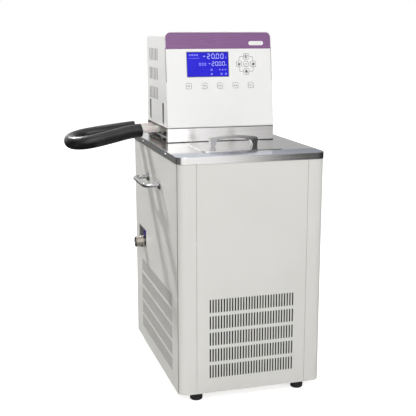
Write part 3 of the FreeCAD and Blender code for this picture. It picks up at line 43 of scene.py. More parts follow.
CAMERA_AT = (-0.5905, -1.9023, 0.8080)
CAMERA_DOWN = math.radians(11.92)
CAMERA_RIGHT = math.radians(16.28)
LENS_MM = 73.42
FLOOR_SIZE = 30.0
FLOOR_GLOW = 0.75
FLOOR_SHEET = (0.25, 0.425, 1.4, 0.10)
FLOOR_LEFT = (-3.4, -0.7, 0.18, 1.0)
FLOOR_BEHIND_Y = (-2.6, -1.6)
FAR_FLOOR = (2.2, 3.0, 0.04, 0.20)
FAR_LEFT = (-3.4, -0.9, 0.15, 0.0)
FRONT_CARD = (0.268, 0.340, 2.5, 0.19)
REAR_CARD = (0.25, 0.40, 0.85, 0.52)
CARD_LEFT = (-1.6, -0.7, 0.08, 1.0)
CEILING_HEIGHT = (0.25, 0.7)
CEILING_GLOW = 0.95
WEST_SHADE = (-0.9, 0.1, 0.46, 1.0)
NORTH_SHADE = (-0.1, 0.9, 1.0, 0.22)
DAYLIGHT = (0.0, 0.8, 0.63, 0.50)
NOISE_MIDDLE = (0.35, 0.65)

scene = bpy.context.scene
scene.view_settings.view_transform = "Standard"
camera = bpy.data.objects.new("camera", bpy.data.cameras.new("camera"))
scene.collection.objects.link(camera)
camera.location = CAMERA_AT
camera.rotation_euler = (math.pi / 2 - CAMERA_DOWN, 0, -CAMERA_RIGHT)
camera.data.lens = LENS_MM
camera.data.sensor_width = 36.0
scene.camera = camera


def new_material(name):
    material = bpy.data.materials.new(name)
    material.use_nodes = True
    tree = material.node_tree
    return material, tree, tree.nodes["Principled BSDF"]


def connect(tree, value, socket):
    """Link a socket, or set a plain number or colour."""
    if isinstance(value, bpy.types.NodeSocket):
        tree.links.new(value, socket)
    elif isinstance(value, tuple):
        socket.default_value = (*value, 1)
    else:
        socket.default_value = value


def add_math(tree, operation, first, second=0.0):
    item = tree.nodes.new("ShaderNodeMath")
    item.operation = operation
    connect(tree, first, item.inputs[0])
    connect(tree, second, item.inputs[1])
    return item.outputs["Value"]


def between(tree, value, start, end, low=0.0, high=1.0):
    """Go smoothly from low to high as the value goes from start to end."""
    item = tree.nodes.new("ShaderNodeMapRange")
    item.interpolation_type = "SMOOTHSTEP"
    for name, number in zip(("From Min", "From Max", "To Min", "To Max"), (start, end, low, high)):
        item.inputs[name].default_value = number
    tree.links.new(value, item.inputs["Value"])
    return item.outputs["Result"]


def mix(tree, factor, low, high, kind="FLOAT"):
    item = tree.nodes.new("ShaderNodeMix")
    item.data_type = kind
    first, second, result = (6, 7, 2) if kind == "RGBA" else (2, 3, 0)
    connect(tree, factor, item.inputs["Factor"])
    connect(tree, low, item.inputs[first])
    connect(tree, high, item.inputs[second])
    return item.outputs[result]


def mix_shader(tree, factor, first, second):
    item = tree.nodes.new("ShaderNodeMixShader")
    tree.links.new(factor, item.inputs["Fac"])
    tree.links.new(first, item.inputs[1])
    tree.links.new(second, item.inputs[2])
    return item.outputs["Shader"]


def coordinates(tree, scale=(1, 1, 1)):
    """The piece's own coordinates in metres, stretched by scale."""
    where = tree.nodes.new("ShaderNodeTexCoord")
    mapping = tree.nodes.new("ShaderNodeMapping")
    mapping.inputs["Scale"].default_value = scale
    tree.links.new(where.outputs["Object"], mapping.inputs["Vector"])
    return mapping.outputs["Vector"]


def sideways(tree, right, ahead, least):
    """How far to the right a ray goes for each metre to the front or the back."""
    ahead = add_math(tree, "MAXIMUM", add_math(tree, "ABSOLUTE", ahead), least)
    return add_math(tree, "DIVIDE", right, ahead)


def split(tree, vector):
    item = tree.nodes.new("ShaderNodeSeparateXYZ")
    tree.links.new(vector, item.inputs["Vector"])
    return item.outputs


def noise(tree, vector, scale, detail=3.0):
    texture = tree.nodes.new("ShaderNodeTexNoise")
    texture.inputs["Scale"].default_value = scale
    texture.inputs["Detail"].default_value = detail
    tree.links.new(vector, texture.inputs["Vector"])
    return between(tree, texture.outputs["Fac"], *NOISE_MIDDLE)


def deselect():
    if bpy.context.object and bpy.context.object.mode != "OBJECT":
        bpy.ops.object.mode_set(mode="OBJECT")
    bpy.ops.object.select_all(action="DESELECT")


def choose(*pieces):
    """Select these pieces alone, the first one active."""
    deselect()
    for piece in pieces:
        piece.select_set(True)
    bpy.context.view_layer.objects.active = pieces[0]


def named(name):
    """Name the piece that was just made."""
    piece = bpy.context.object
    piece.name = name
    piece.data.name = name
    return piece


def settle(piece):
    """Put the piece's place into its mesh, with its object at the origin."""
    choose(piece)
    bpy.ops.object.transform_apply(location=True, rotation=True, scale=True)
    return piece


floor_paint, tree, shader = new_material("floor_paint")
where = coordinates(tree)
rays = tree.nodes.new("ShaderNodeLightPath")
tone = mix(tree, noise(tree, where, 2.0), (0.80, 0.785, 0.76), (0.83, 0.815, 0.79), "RGBA")
tree.links.new(tone, shader.inputs["Base Color"])
shader.inputs["Roughness"].default_value = 0.7
shader.inputs["Emission Color"].default_value = (1, 1, 1, 1)
tree.links.new(add_math(tree, "MULTIPLY", rays.outputs["Is Camera Ray"], FLOOR_GLOW),
               shader.inputs["Emission Strength"])
across, along, _ = split(tree, where)
aside = sideways(tree, across, along, 0.3)
sheet = add_math(tree, "MULTIPLY", between(tree, aside, *FLOOR_SHEET),
                 between(tree, aside, *FLOOR_LEFT))
dark_side = add_math(tree, "ADD", between(tree, along, *FAR_FLOOR), between(tree, aside, *FAR_LEFT))
card = tree.nodes.new("ShaderNodeEmission")
tree.links.new(mix(tree, between(tree, along, *FLOOR_BEHIND_Y), sheet, dark_side),
               card.inputs["Strength"])
looks = mix_shader(tree, rays.outputs["Is Glossy Ray"], shader.outputs["BSDF"],
                   card.outputs["Emission"])
tree.links.new(looks, tree.nodes["Material Output"].inputs["Surface"])
deselect()
bpy.ops.mesh.primitive_plane_add(size=FLOOR_SIZE)
floor = settle(named("floor"))
floor.data.materials.append(floor_paint)

world = bpy.data.worlds.new("studio")
scene.world = world
world.use_nodes = True
tree = world.node_tree
tree.nodes.clear()


def background(colour, strength):
    item = tree.nodes.new("ShaderNodeBackground")
    item.inputs["Color"].default_value = (*colour, 1)
    connect(tree, strength, item.inputs["Strength"])
    return item.outputs["Background"]


direction = tree.nodes.new("ShaderNodeTexCoord")
east, north, up = split(tree, direction.outputs["Generated"])
aside = sideways(tree, east, north, 0.05)
cards = mix(tree, between(tree, north, -0.05, 0.05), between(tree, aside, *FRONT_CARD),
            between(tree, aside, *REAR_CARD))
cards = add_math(tree, "MULTIPLY", cards, between(tree, aside, *CARD_LEFT))
ceiling = mix(tree, between(tree, up, *CEILING_HEIGHT), cards, CEILING_GLOW)
rays = tree.nodes.new("ShaderNodeLightPath")
shade = add_math(tree, "MULTIPLY", between(tree, east, *WEST_SHADE),
                 between(tree, north, *NORTH_SHADE))
daylight = add_math(tree, "MULTIPLY", between(tree, up, *DAYLIGHT), shade)
room = background((1.0, 0.995, 0.985), daylight)
room = mix_shader(tree, rays.outputs["Is Glossy Ray"], room,
                  background((0.98, 0.985, 1.0), ceiling))
room = mix_shader(tree, rays.outputs["Is Camera Ray"], room, background((1, 1, 1), 1.0))
output = tree.nodes.new("ShaderNodeOutputWorld")
tree.links.new(room, output.inputs["Surface"])


def soft_box(name, place, target, width, height, watts):
    """A rectangular studio light aimed at a point."""
    light = bpy.data.lights.new(name, "AREA")
    light.shape = "RECTANGLE"
    light.size = width
    light.size_y = height
    light.energy = watts
    holder = bpy.data.objects.new(name, light)
    scene.collection.objects.link(holder)
    holder.location = place
    holder.rotation_euler = (Vector(target) - Vector(place)).to_track_quat("-Z", "Y").to_euler()
    return holder


soft_box("key_light", (-0.5, -2.8, 2.8), (0, 0, 0.6), width=2.2, height=1.6, watts=58)
soft_box("left_light", (-1.27, 2.5, 2.7), (-0.2, 0.1, 0.4), width=0.20, height=0.20, watts=106)
soft_box("top_light", (0.5, 0.0, 3.2), (0, 0, 0.5), width=2.0, height=2.0, watts=5)
gloss_light = soft_box("gloss_light", (0.0, -0.3, 3.6), (0, 0, 0.5), width=2.2, height=2.2,
                       watts=15)
gloss_light.visible_diffuse = False

# Base and feet: a tray folded from sheet steel and powder coated, which carries all the rest.
# Four moulded rubber feet are screwed under its corners, and the compressor stands on rubber too.

DRIFT_SCALE = 6.0
GLOSS_SCALE = 25.0
GLOSS_SPREAD = 0.04
GRAIN_STRENGTH = 0.3


def bump(tree, shader, height, strength, depth):
    """Raise the surface by the height pattern, depth metres at most."""
    relief = tree.nodes.new("ShaderNodeBump")
    relief.inputs["Strength"].default_value = strength
    relief.inputs["Distance"].default_value = depth
    tree.links.new(height, relief.inputs["Height"])
    tree.links.new(relief.outputs["Normal"], shader.inputs["Normal"])


def finish_material(name, colour, shade, gloss, grain, depth, metallic=0.0):
    """A moulded, painted or cast finish: drifting colour and gloss over a fine grain."""
    material, tree, shader = new_material(name)
    where = coordinates(tree)
    drift = noise(tree, where, DRIFT_SCALE)
    tree.links.new(mix(tree, drift, shade, colour, "RGBA"), shader.inputs["Base Color"])
    sheen = noise(tree, where, GLOSS_SCALE)
    tree.links.new(mix(tree, sheen, gloss - GLOSS_SPREAD, gloss + GLOSS_SPREAD),
                   shader.inputs["Roughness"])
    shader.inputs["Metallic"].default_value = metallic
    bump(tree, shader, noise(tree, where, grain), GRAIN_STRENGTH, depth)
    return material


def finish(material, *names):
    """Give the solids of these names their material."""
    for name in names:
        mesh = nodes[name].data
        mesh.materials.clear()
        mesh.materials.append(material)


powder_coat = finish_material(
    "powder_coat", (0.765, 0.763, 0.742), (0.748, 0.746, 0.724),
    gloss=0.42, grain=900.0, depth=0.00012)
rubber = finish_material(
    "black_rubber", (0.026, 0.026, 0.027), (0.016, 0.016, 0.016),
    gloss=0.6, grain=700.0, depth=0.0002)
finish(powder_coat, "base_pan")
finish(rubber, "rubber_feet", "compressor_mounts")

# Cooling machinery: a compressor on rubber mounts, and a finned condenser with its fan in a ring.
# Brazed copper lines join them to the coil round the tank, and white foam insulates the tank.
# A black dust filter covers the fins behind the front grille.

copper = finish_material(
    "copper_tube", (0.75, 0.38, 0.24), (0.58, 0.27, 0.17),
    gloss=0.32, grain=400.0, depth=0.0001, metallic=1.0)
fin_aluminium = finish_material(
    "fin_aluminium", (0.55, 0.55, 0.56), (0.42, 0.42, 0.43),
    gloss=0.4, grain=900.0, depth=0.0002, metallic=1.0)
black_paint = finish_material(
    "black_paint", (0.028, 0.028, 0.030), (0.018, 0.018, 0.020),
    gloss=0.42, grain=500.0, depth=0.0002)
black_plastic = finish_material(
    "black_plastic", (0.020, 0.020, 0.021), (0.012, 0.012, 0.013),
    gloss=0.45, grain=800.0, depth=0.0001)
white_foam = finish_material(
    "white_foam", (0.80, 0.78, 0.70), (0.70, 0.68, 0.60),
    gloss=0.8, grain=300.0, depth=0.0008)
bare_steel = finish_material(
    "bare_steel", (0.62, 0.60, 0.57), (0.50, 0.48, 0.46),
    gloss=0.28, grain=500.0, depth=0.0002, metallic=1.0)
finish(copper, "cooling_coil", "discharge_line", "suction_line", "filter_drier")
finish(fin_aluminium, "condenser")
finish(black_paint, "compressor", "fan_shroud", "fan_bracket", "fan_motor")
finish(black_plastic, "fan_rotor", "power_box")
finish(bare_steel, "fan_shaft")
finish(white_foam, "tank_insulation")

filter_mesh, tree, shader = new_material("filter_mesh")
cells = tree.nodes.new("ShaderNodeTexVoronoi")
cells.inputs["Scale"].default_value = 420.0
tree.links.new(coordinates(tree), cells.inputs["Vector"])
weave = mix(tree, cells.outputs["Distance"], (0.002, 0.002, 0.002), (0.010, 0.010, 0.010), "RGBA")
tree.links.new(weave, shader.inputs["Base Color"])
shader.inputs["Roughness"].default_value = 0.95
shader.inputs["Specular IOR Level"].default_value = 0.1
bump(tree, shader, cells.outputs["Distance"], 0.6, 0.001)
finish(filter_mesh, "condenser_filter")

# Cabinet panels: bent sheet steel, powder coated in a light warm grey, with punched air slots.
# The two wraps go round the front corners and meet the flat front panel at fine seams.
# The walls of the slots in the wraps carry painted shade, darker than the paint.

CORNER_CENTRE = (0.147, -0.207)
CORNER_ROUND = 0.018
SKIN_X = 0.1648
FLAT_HALF_Y = 0.195
SLOT_SHADE_TONE = (0.30, 0.30, 0.29)
SHADE_LINE_ANGLE = math.radians(16)
SHADE_LINE_WIDTH = 0.0022
SHADE_LINE_LOW_Z = 0.0235
SHADE_LINE_HIGH_Z = 0.5325
SHADE_LINE_DEPTH = 0.0002
SHADE_LINE_PROUD = 0.00015

finish(powder_coat, "front_panel", "rear_panel")
# The side coat paints the slot walls dark grey: painted shade inside the slots.
side_coat = powder_coat.copy()
side_coat.name = "side_coat"
tree = side_coat.node_tree
side, along, _ = split(tree, coordinates(tree))
slot_shade = add_math(tree, "LESS_THAN", add_math(tree, "ABSOLUTE", side), SKIN_X)
slot_shade = add_math(tree, "MULTIPLY", slot_shade,
                     add_math(tree, "LESS_THAN", add_math(tree, "ABSOLUTE", along), FLAT_HALF_Y))
shader = tree.nodes["Principled BSDF"]
paint = shader.inputs["Base Color"].links[0].from_socket
tree.links.new(mix(tree, slot_shade, paint, SLOT_SHADE_TONE, "RGBA"), shader.inputs["Base Color"])
finish(side_coat, "left_side_panel", "right_side_panel")


def apply_modifiers(piece):
    choose(piece)
    for modifier in list(piece.modifiers):
        bpy.ops.object.modifier_apply(modifier=modifier.name)
    return piece


def flat_plate(name, width, height, round_by=0.0, corner_steps=5):
    """A flat rectangle that faces the user, its corners rounded."""
    deselect()
    bpy.ops.mesh.primitive_plane_add(size=1, rotation=(math.pi / 2, 0, 0))
    piece = named(name)
    piece.scale = (width, height, 1)
    settle(piece)
    if round_by:
        corners = piece.modifiers.new("corners", "BEVEL")
        corners.affect = "VERTICES"
        corners.width = round_by
        corners.segments = corner_steps
        apply_modifiers(piece)
    return piece


def thicken(piece, depth):
    """Give a flat plate its thickness, behind its face."""
    skin = piece.modifiers.new("skin", "SOLIDIFY")
    skin.thickness = depth
    skin.offset = -1
    return apply_modifiers(piece)


def join_pieces(name, pieces):
    choose(*pieces)
    bpy.ops.object.join()
    return named(name)


def complete(piece, material, slot, *replaced, body="cabinet"):
    """Settle a new piece, give it its material, and tie it to its body. The slot is not used."""
    settle(piece)
    piece.data.materials.clear()
    piece.data.materials.append(material)
    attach(piece, body)
    if replaced:
        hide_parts(*replaced)
    return piece


# A dark grey strip down the rounding of each front corner is a painted shade line, where the flat
# side turns into the round.
corner_shade_grey = finish_material(
    "corner_shade_grey", (0.24, 0.24, 0.235), (0.19, 0.19, 0.185),
    gloss=0.5, grain=600.0, depth=0.0001)
shade_lines = []
for side in (-1, 1):
    strip = thicken(flat_plate("shade_line", SHADE_LINE_WIDTH, SHADE_LINE_HIGH_Z - SHADE_LINE_LOW_Z), SHADE_LINE_DEPTH)
    turn = Matrix.Rotation(side * (math.pi / 2 - SHADE_LINE_ANGLE), 4, "Z")
    reach = Matrix.Translation((0, -CORNER_ROUND - SHADE_LINE_PROUD, (SHADE_LINE_LOW_Z + SHADE_LINE_HIGH_Z) / 2))
    corner = Matrix.Translation((side * CORNER_CENTRE[0], CORNER_CENTRE[1], 0))
    strip.matrix_world = corner @ turn @ reach
    shade_lines.append(settle(strip))
complete(join_pieces("corner_shade_lines", shade_lines), corner_shade_grey, "body_paint")

# Mains inlet and rocker switch: black moulded plastic, clipped into cut-outs of the rear panel.
# The rocker tilts in its frame to switch the bath on and off.

finish(black_plastic, "power_inlet", "switch_frame", "power_rocker")

# Drain: a boxed recess in the left panel holds a steel ball valve with a short spout.
# The spout is turned and nickel plated, with ribs that hold a drain hose.
# A purple moulded grip on the valve's stem opens it with a quarter turn.

SPOUT_Y = 0.1270
SPOUT_Z = 0.2873
SPOUT_PROFILE = [
    (-0.1656, 0.0129), (-0.1656, 0.0143), (-0.1664, 0.0149), (-0.1722, 0.0149), (-0.1730, 0.0143),
    (-0.1730, 0.0131), (-0.1762, 0.0131), (-0.1768, 0.0138), (-0.1798, 0.0138), (-0.1804, 0.0131),
    (-0.1836, 0.0131), (-0.1842, 0.0138), (-0.1868, 0.0138), (-0.1874, 0.0132), (-0.1874, 0.0078),
    (-0.1871, 0.0073), (-0.1871, 0.0129),
]
GRIP_ENDS_X = (-0.1660, -0.1475)
GRIP_WIDTH = 0.0092
GRIP_Z = (0.2990, 0.3166)
GRIP_ROUND = 0.0025


def lathe(name, profile, y, z, steps=48):
    """Turn a closed profile of (x, radius) points round a line along X."""
    deselect()
    bpy.ops.mesh.primitive_circle_add(vertices=steps, radius=profile[0][1],
                                      rotation=(0, math.pi / 2, 0), location=(profile[0][0], y, z))
    piece = settle(named(name))
    choose(piece)
    bpy.ops.object.mode_set(mode="EDIT")
    bpy.ops.mesh.select_all(action="SELECT")
    for (x, radius), (ahead, wide) in zip(profile, profile[1:] + profile[:1]):
        bpy.ops.mesh.extrude_edges_move(TRANSFORM_OT_translate={"value": (ahead - x, 0, 0)})
        bpy.ops.transform.resize(value=(1, wide / radius, wide / radius),
                                 center_override=(ahead, y, z))
    bpy.ops.mesh.select_all(action="SELECT")
    bpy.ops.mesh.remove_doubles(threshold=0.00001)
    bpy.ops.mesh.normals_make_consistent(inside=False)
    bpy.ops.object.mode_set(mode="OBJECT")
    bpy.ops.object.shade_smooth_by_angle(angle=math.radians(35))
    return piece


def rounded_block(name, low, high, round_by):
    """A box between two corners with rounded edges."""
    deselect()
    middle = [(a + b) / 2 for a, b in zip(low, high)]
    bpy.ops.mesh.primitive_cube_add(size=1, location=middle)
    piece = named(name)
    piece.scale = [b - a for a, b in zip(low, high)]
    settle(piece)
    edges = piece.modifiers.new("edges", "BEVEL")
    edges.width = round_by
    edges.segments = 4
    apply_modifiers(piece)
    bpy.ops.object.shade_smooth_by_angle(angle=math.radians(40))
    return piece


# The drain box is painted dark grey: painted shade inside the recess.
recess_shade_paint = finish_material(
    "recess_shade_paint", (0.30, 0.30, 0.29), (0.24, 0.24, 0.23),
    gloss=0.5, grain=700.0, depth=0.0002)
purple_grip = finish_material(
    "purple_grip", (0.085, 0.060, 0.30), (0.060, 0.040, 0.22),
    gloss=0.35, grain=600.0, depth=0.0001)
finish(recess_shade_paint, "drain_box")
finish(bare_steel, "drain_valve", "drain_pipe")
finish(purple_grip, "drain_lever")
nickel = finish_material(
    "nickel_plate", (0.56, 0.52, 0.47), (0.44, 0.40, 0.36),
    gloss=0.16, grain=500.0, depth=0.0001, metallic=1.0)
complete(lathe("spout_fitting", SPOUT_PROFILE, SPOUT_Y, SPOUT_Z), nickel, "stainless")
grip_low = (GRIP_ENDS_X[0], SPOUT_Y - GRIP_WIDTH / 2, GRIP_Z[0])
grip_high = (GRIP_ENDS_X[1], SPOUT_Y + GRIP_WIDTH / 2, GRIP_Z[1])
lever_grip = rounded_block("lever_grip", grip_low, grip_high, GRIP_ROUND)
complete(lever_grip, purple_grip, "purple_plastic", body="drain_tap")

# Side handles: round steel bar, bent at both ends and chrome plated.
# A turned rosette under each end spreads the load on the panel, and screws hold it from inside.

chrome = finish_material(
    "bright_chrome", (0.52, 0.52, 0.53), (0.46, 0.46, 0.47),
    gloss=0.04, grain=300.0, depth=0.00002, metallic=1.0)
finish(chrome, "left_handle", "right_handle", "left_rosettes", "right_rosettes")

# Deck: one folded stainless sheet, brushed from left to right, its skirt turned down all round.
# Its top falls slightly to the front edge, and pan head screws hold the skirt to the cabinet.

LINES_ALONG = 7.0
LINES_ACROSS = 800.0
LINE_DEPTH = 0.00003
GLOSS_DROP = 0.03
GLOSS_RISE = 0.05
FALL_STARTS_Y = -0.1625
FALL_BLEND = 0.001
FRONT_FALL = 0.0245
DECK_TOP_Z = 0.5475
RIGHT_END_X = (0.02, 0.14)
PAINTED_REFLECTION_TONES = ((0.47, 0.50, 0.59), (0.26, 0.30, 0.38))


def brushed_steel(name, along, colour, shade, gloss):
    """Stainless sheet with fine straight brush lines along one axis."""
    material, tree, shader = new_material(name)
    stretch = [LINES_ALONG if axis == along else LINES_ACROSS for axis in "XYZ"]
    lines = noise(tree, coordinates(tree, stretch), 1.0, 2.0)
    tree.links.new(mix(tree, lines, shade, colour, "RGBA"), shader.inputs["Base Color"])
    tree.links.new(mix(tree, lines, gloss - GLOSS_DROP, gloss + GLOSS_RISE),
                   shader.inputs["Roughness"])
    shader.inputs["Metallic"].default_value = 1.0
    bump(tree, shader, lines, 0.15, LINE_DEPTH)
    return material, tree, shader


deck_steel, tree, shader = brushed_steel(
    "deck_steel", "X", (0.66, 0.65, 0.64), (0.60, 0.59, 0.58), gloss=0.13)
steel_tone = shader.inputs["Base Color"].links[0].from_socket
fall = tree.nodes.new("ShaderNodeBump")
fall.inputs["Distance"].default_value = 1.0
across, along, height = split(tree, coordinates(tree))
drop = add_math(tree, "MULTIPLY", add_math(tree, "MINIMUM", along, FALL_STARTS_Y), FRONT_FALL)
tree.links.new(drop, fall.inputs["Height"])
tree.links.new(fall.outputs["Normal"], tree.nodes["Bump"].inputs["Normal"])
# Painted reflection: in front of the lid the deck's top turns bluish grey, darker towards the right
# end.
reflection_mask = between(tree, along, FALL_STARTS_Y - FALL_BLEND, FALL_STARTS_Y, 1.0, 0.0)
reflection_mask = add_math(tree, "MULTIPLY", reflection_mask,
                      add_math(tree, "GREATER_THAN", height, DECK_TOP_Z))
right_end = between(tree, across, *RIGHT_END_X)
painted_reflection = mix(tree, right_end, *PAINTED_REFLECTION_TONES, "RGBA")
tree.links.new(mix(tree, reflection_mask, steel_tone, painted_reflection, "RGBA"), shader.inputs["Base Color"])
finish(deck_steel, "deck")
finish(chrome, "deck_screws")

# Bath: a deep-drawn stainless tank under the deck, with its rim behind the deck's opening.
# A loose lid of brushed sheet closes it, with a polished bow handle fixed on top.

tank_steel, _, _ = brushed_steel(
    "tank_steel", "Z", (0.60, 0.60, 0.60), (0.50, 0.50, 0.50), gloss=0.26)
lid_steel, _, _ = brushed_steel(
    "lid_steel", "X", (0.68, 0.67, 0.66), (0.62, 0.61, 0.60), gloss=0.11)
polished_steel = finish_material(
    "polished_steel", (0.36, 0.355, 0.355), (0.31, 0.305, 0.305),
    gloss=0.06, grain=400.0, depth=0.00005, metallic=1.0)
finish(tank_steel, "bath_tank")
finish(lid_steel, "bath_lid")
finish(polished_steel, "lid_handle")

# Collar and service plate: stainless sheet that carries the head, open on the left for the hoses.
# The pump, the heater and the probe hang through the plate into the bath.
# Thin black rubber strips lie round the collar's foot on the deck and its top under the head, a
# dark line at each joint.

COLLAR_HALF = 0.130
COLLAR_Y = (0.007, 0.222)
JOINT_STRIP_ROUND = 0.001
JOINT_STRIP_GAP = 0.0001
JOINT_STRIPS = [("foot_strip", 0.5481, 0.0016, 0.0007), ("head_strip", 0.5805, 0.0014, 0.0005)]

collar_steel, tree, shader = brushed_steel(
    "collar_steel", "X", (0.80, 0.79, 0.78), (0.73, 0.72, 0.71), gloss=0.31)
shader.inputs["Anisotropic"].default_value = 0.82
smear = tree.nodes.new("ShaderNodeCombineXYZ")
smear.inputs["Y"].default_value = 1.0
smear.inputs["Z"].default_value = 1.0
tree.links.new(smear.outputs["Vector"], shader.inputs["Tangent"])
finish(collar_steel, "head_collar", "service_plate")


def outline(name, width, height, round_by, line, depth):
    """A thin frame round a rounded rectangle."""
    piece = flat_plate(name, width, height, round_by)
    choose(piece)
    bpy.ops.object.mode_set(mode="EDIT")
    bpy.ops.mesh.select_all(action="SELECT")
    bpy.ops.mesh.inset(thickness=line, depth=0)
    bpy.ops.mesh.delete(type="FACE")
    bpy.ops.object.mode_set(mode="OBJECT")
    return thicken(piece, depth)


# These black strips darken the two joints of the collar.
for name, low, thick, proud in JOINT_STRIPS:
    width = (COLLAR_HALF + proud) * 2
    length = COLLAR_Y[1] - COLLAR_Y[0] + proud * 2
    joint_strip = outline(name, width, length, JOINT_STRIP_ROUND, proud - JOINT_STRIP_GAP, thick)
    joint_strip.rotation_euler.x = -math.pi / 2
    joint_strip.location = (0, sum(COLLAR_Y) / 2, low + thick)
    complete(joint_strip, rubber, "rubber")
finish(bare_steel, "head_posts", "outlet_pipe", "return_pipe", "pump_column", "pump_housing",
       "pump_shaft", "pump_impeller", "heater", "temperature_probe")
finish(powder_coat, "head_tray")
finish(black_paint, "pump_motor")

# Head: a white moulded cover with vent slots in its sides, and a leaning front bezel.
# The slot walls are painted dark grey, and a dark grey sheet stands behind the slots: both are
# painted shade inside the head.

SLOT_SKIN_X = 0.1296
SHADE_SHEET_X = 0.1272
SHADE_SHEET_Y = 0.150
SHADE_SHEET_Z = 0.701
SHADE_SHEET_LENGTH = 0.108
SHADE_SHEET_HEIGHT = 0.140
SHADE_SHEET_ROUND = 0.003
SHADE_SHEET_DEPTH = 0.0006
VENT_Y = (0.02, 0.205)
VENT_Z = (0.59, 0.766)
VENT_SHADE_TONE = (0.30, 0.30, 0.295)

white_plastic = finish_material(
    "white_plastic", (0.90, 0.90, 0.89), (0.88, 0.88, 0.87),
    gloss=0.38, grain=800.0, depth=0.00012)
finish(white_plastic, "head_cover", "head_bezel")
tree = white_plastic.node_tree
shader = tree.nodes["Principled BSDF"]
side, along, height = split(tree, coordinates(tree))
# Painted shade: the walls and the inside of the vent slots turn dark grey.
inside = add_math(tree, "LESS_THAN", add_math(tree, "ABSOLUTE", side), SLOT_SKIN_X)
for value, (low, high) in ((along, VENT_Y), (height, VENT_Z)):
    inside = add_math(tree, "MULTIPLY", inside, add_math(tree, "GREATER_THAN", value, low))
    inside = add_math(tree, "MULTIPLY", inside, add_math(tree, "LESS_THAN", value, high))
outer = shader.inputs["Base Color"].links[0].from_socket
tree.links.new(mix(tree, inside, outer, VENT_SHADE_TONE, "RGBA"), shader.inputs["Base Color"])
# A dark grey sheet behind the slots is painted shade inside the head.
vent_shade_sheet = finish_material(
    "vent_shade_sheet", (0.20, 0.20, 0.20), (0.13, 0.13, 0.13),
    gloss=0.9, grain=1500.0, depth=0.0004)
shade_sheets = []
for side in (-1, 1):
    shade_sheet = thicken(flat_plate("shade_sheet", SHADE_SHEET_LENGTH, SHADE_SHEET_HEIGHT, SHADE_SHEET_ROUND), SHADE_SHEET_DEPTH)
    shade_sheet.rotation_euler.z = side * math.pi / 2
    shade_sheet.location = (side * SHADE_SHEET_X, SHADE_SHEET_Y, SHADE_SHEET_Z)
    shade_sheets.append(settle(shade_sheet))
complete(join_pieces("vent_shade_sheets", shade_sheets), vent_shade_sheet, "black_plastic")

# Control film: a printed polyester sheet over the whole front, with a purple band across its top.
# Its keys are embossed, and their outlines and marks are printed.

HEAD_FRONT_Y = 0.007
HEAD_FLOOR_Z = 0.582
HEAD_LEAN = math.radians(7.0)
BAND_LOW_Z = 0.7624
BAND_TONES = ((0.215, 0.090, 0.240), (0.245, 0.110, 0.270))
FILM_TONE = (0.92, 0.92, 0.915)
FILM_FACE = -0.0005
KEY_FACE = -0.0009
PRINT_DEPTH = 0.00012
KEY_SIZE = 0.0140
KEY_LINE = 0.0010
KEY_ROUND = 0.0035
ENTER_ROUND = 0.0062
MARK_ROUND = 0.0006
SOFT_MARK = (0.0070, 0.0018)
ENTER_MARK = (0.0060, 0.0016)
KEY_ROW_UP = 0.0965
KEY_COLUMNS = range(-2, 3)
KEY_PITCH = 0.038
PAD_X = 0.066
PAD_UP = 0.146
PAD_REACH = 0.0176
PAD_SPOTS = [(0, 1), (0, -1), (-1, 0), (1, 0)]
RING_ROUND = 0.003
RING_LINE = 0.0008
DOT_RADIUS = 0.0036
TAB_X = 0.0915
TAB_UP = 0.1945
TAB_WIDTH = 0.037
TAB_HEIGHT = 0.0098
TAB_ROUND = 0.0048

film, tree, shader = new_material("printed_film")
where = coordinates(tree)
height = split(tree, where)["Z"]
band = mix(tree, noise(tree, coordinates(tree, (30, 900, 900)), 1.0), *BAND_TONES, "RGBA")
above = add_math(tree, "GREATER_THAN", height, BAND_LOW_Z)
tree.links.new(mix(tree, above, FILM_TONE, band, "RGBA"), shader.inputs["Base Color"])
shader.inputs["Roughness"].default_value = 0.32
bump(tree, shader, noise(tree, where, 1500.0), 0.15, 0.0001)
finish(film, "control_film")


def on_face(piece, x, up, depth):
    """Put a piece made in the XZ plane onto the leaning front."""
    lean = Matrix.Rotation(-HEAD_LEAN, 4, "X")
    corner = Matrix.Translation((0, HEAD_FRONT_Y, HEAD_FLOOR_Z))
    piece.matrix_world = corner @ lean @ Matrix.Translation((x, depth, up)) @ piece.matrix_world
    return settle(piece)


key_grey = finish_material(
    "key_grey", (0.13, 0.13, 0.14), (0.09, 0.09, 0.10),
    gloss=0.4, grain=500.0, depth=0.00005)
key_purple = finish_material(
    "key_purple", (0.10, 0.03, 0.12), (0.07, 0.02, 0.09),
    gloss=0.4, grain=500.0, depth=0.00005)

prints = []
for column in KEY_COLUMNS:
    key = outline("soft_key", KEY_SIZE, KEY_SIZE, KEY_ROUND, KEY_LINE, PRINT_DEPTH)
    prints.append(on_face(key, KEY_PITCH * column, KEY_ROW_UP, KEY_FACE))
    mark = thicken(flat_plate("soft_mark", *SOFT_MARK, MARK_ROUND), PRINT_DEPTH)
    prints.append(on_face(mark, KEY_PITCH * column, KEY_ROW_UP, KEY_FACE))
for across, up in PAD_SPOTS:
    key = outline("pad_key", KEY_SIZE, KEY_SIZE, KEY_ROUND, KEY_LINE, PRINT_DEPTH)
    prints.append(on_face(key, PAD_X + PAD_REACH * across, PAD_UP + PAD_REACH * up, KEY_FACE))
key = outline("enter_key", KEY_SIZE, KEY_SIZE, ENTER_ROUND, KEY_LINE, PRINT_DEPTH)
prints.append(on_face(key, PAD_X, PAD_UP, KEY_FACE))
mark = thicken(flat_plate("enter_mark", *ENTER_MARK, MARK_ROUND), PRINT_DEPTH)
prints.append(on_face(mark, PAD_X, PAD_UP, KEY_FACE))
ring = outline("pad_ring", PAD_REACH * 2, PAD_REACH * 2, RING_ROUND, RING_LINE, PRINT_DEPTH)
prints.append(on_face(ring, PAD_X, PAD_UP, FILM_FACE - PRINT_DEPTH / 2))
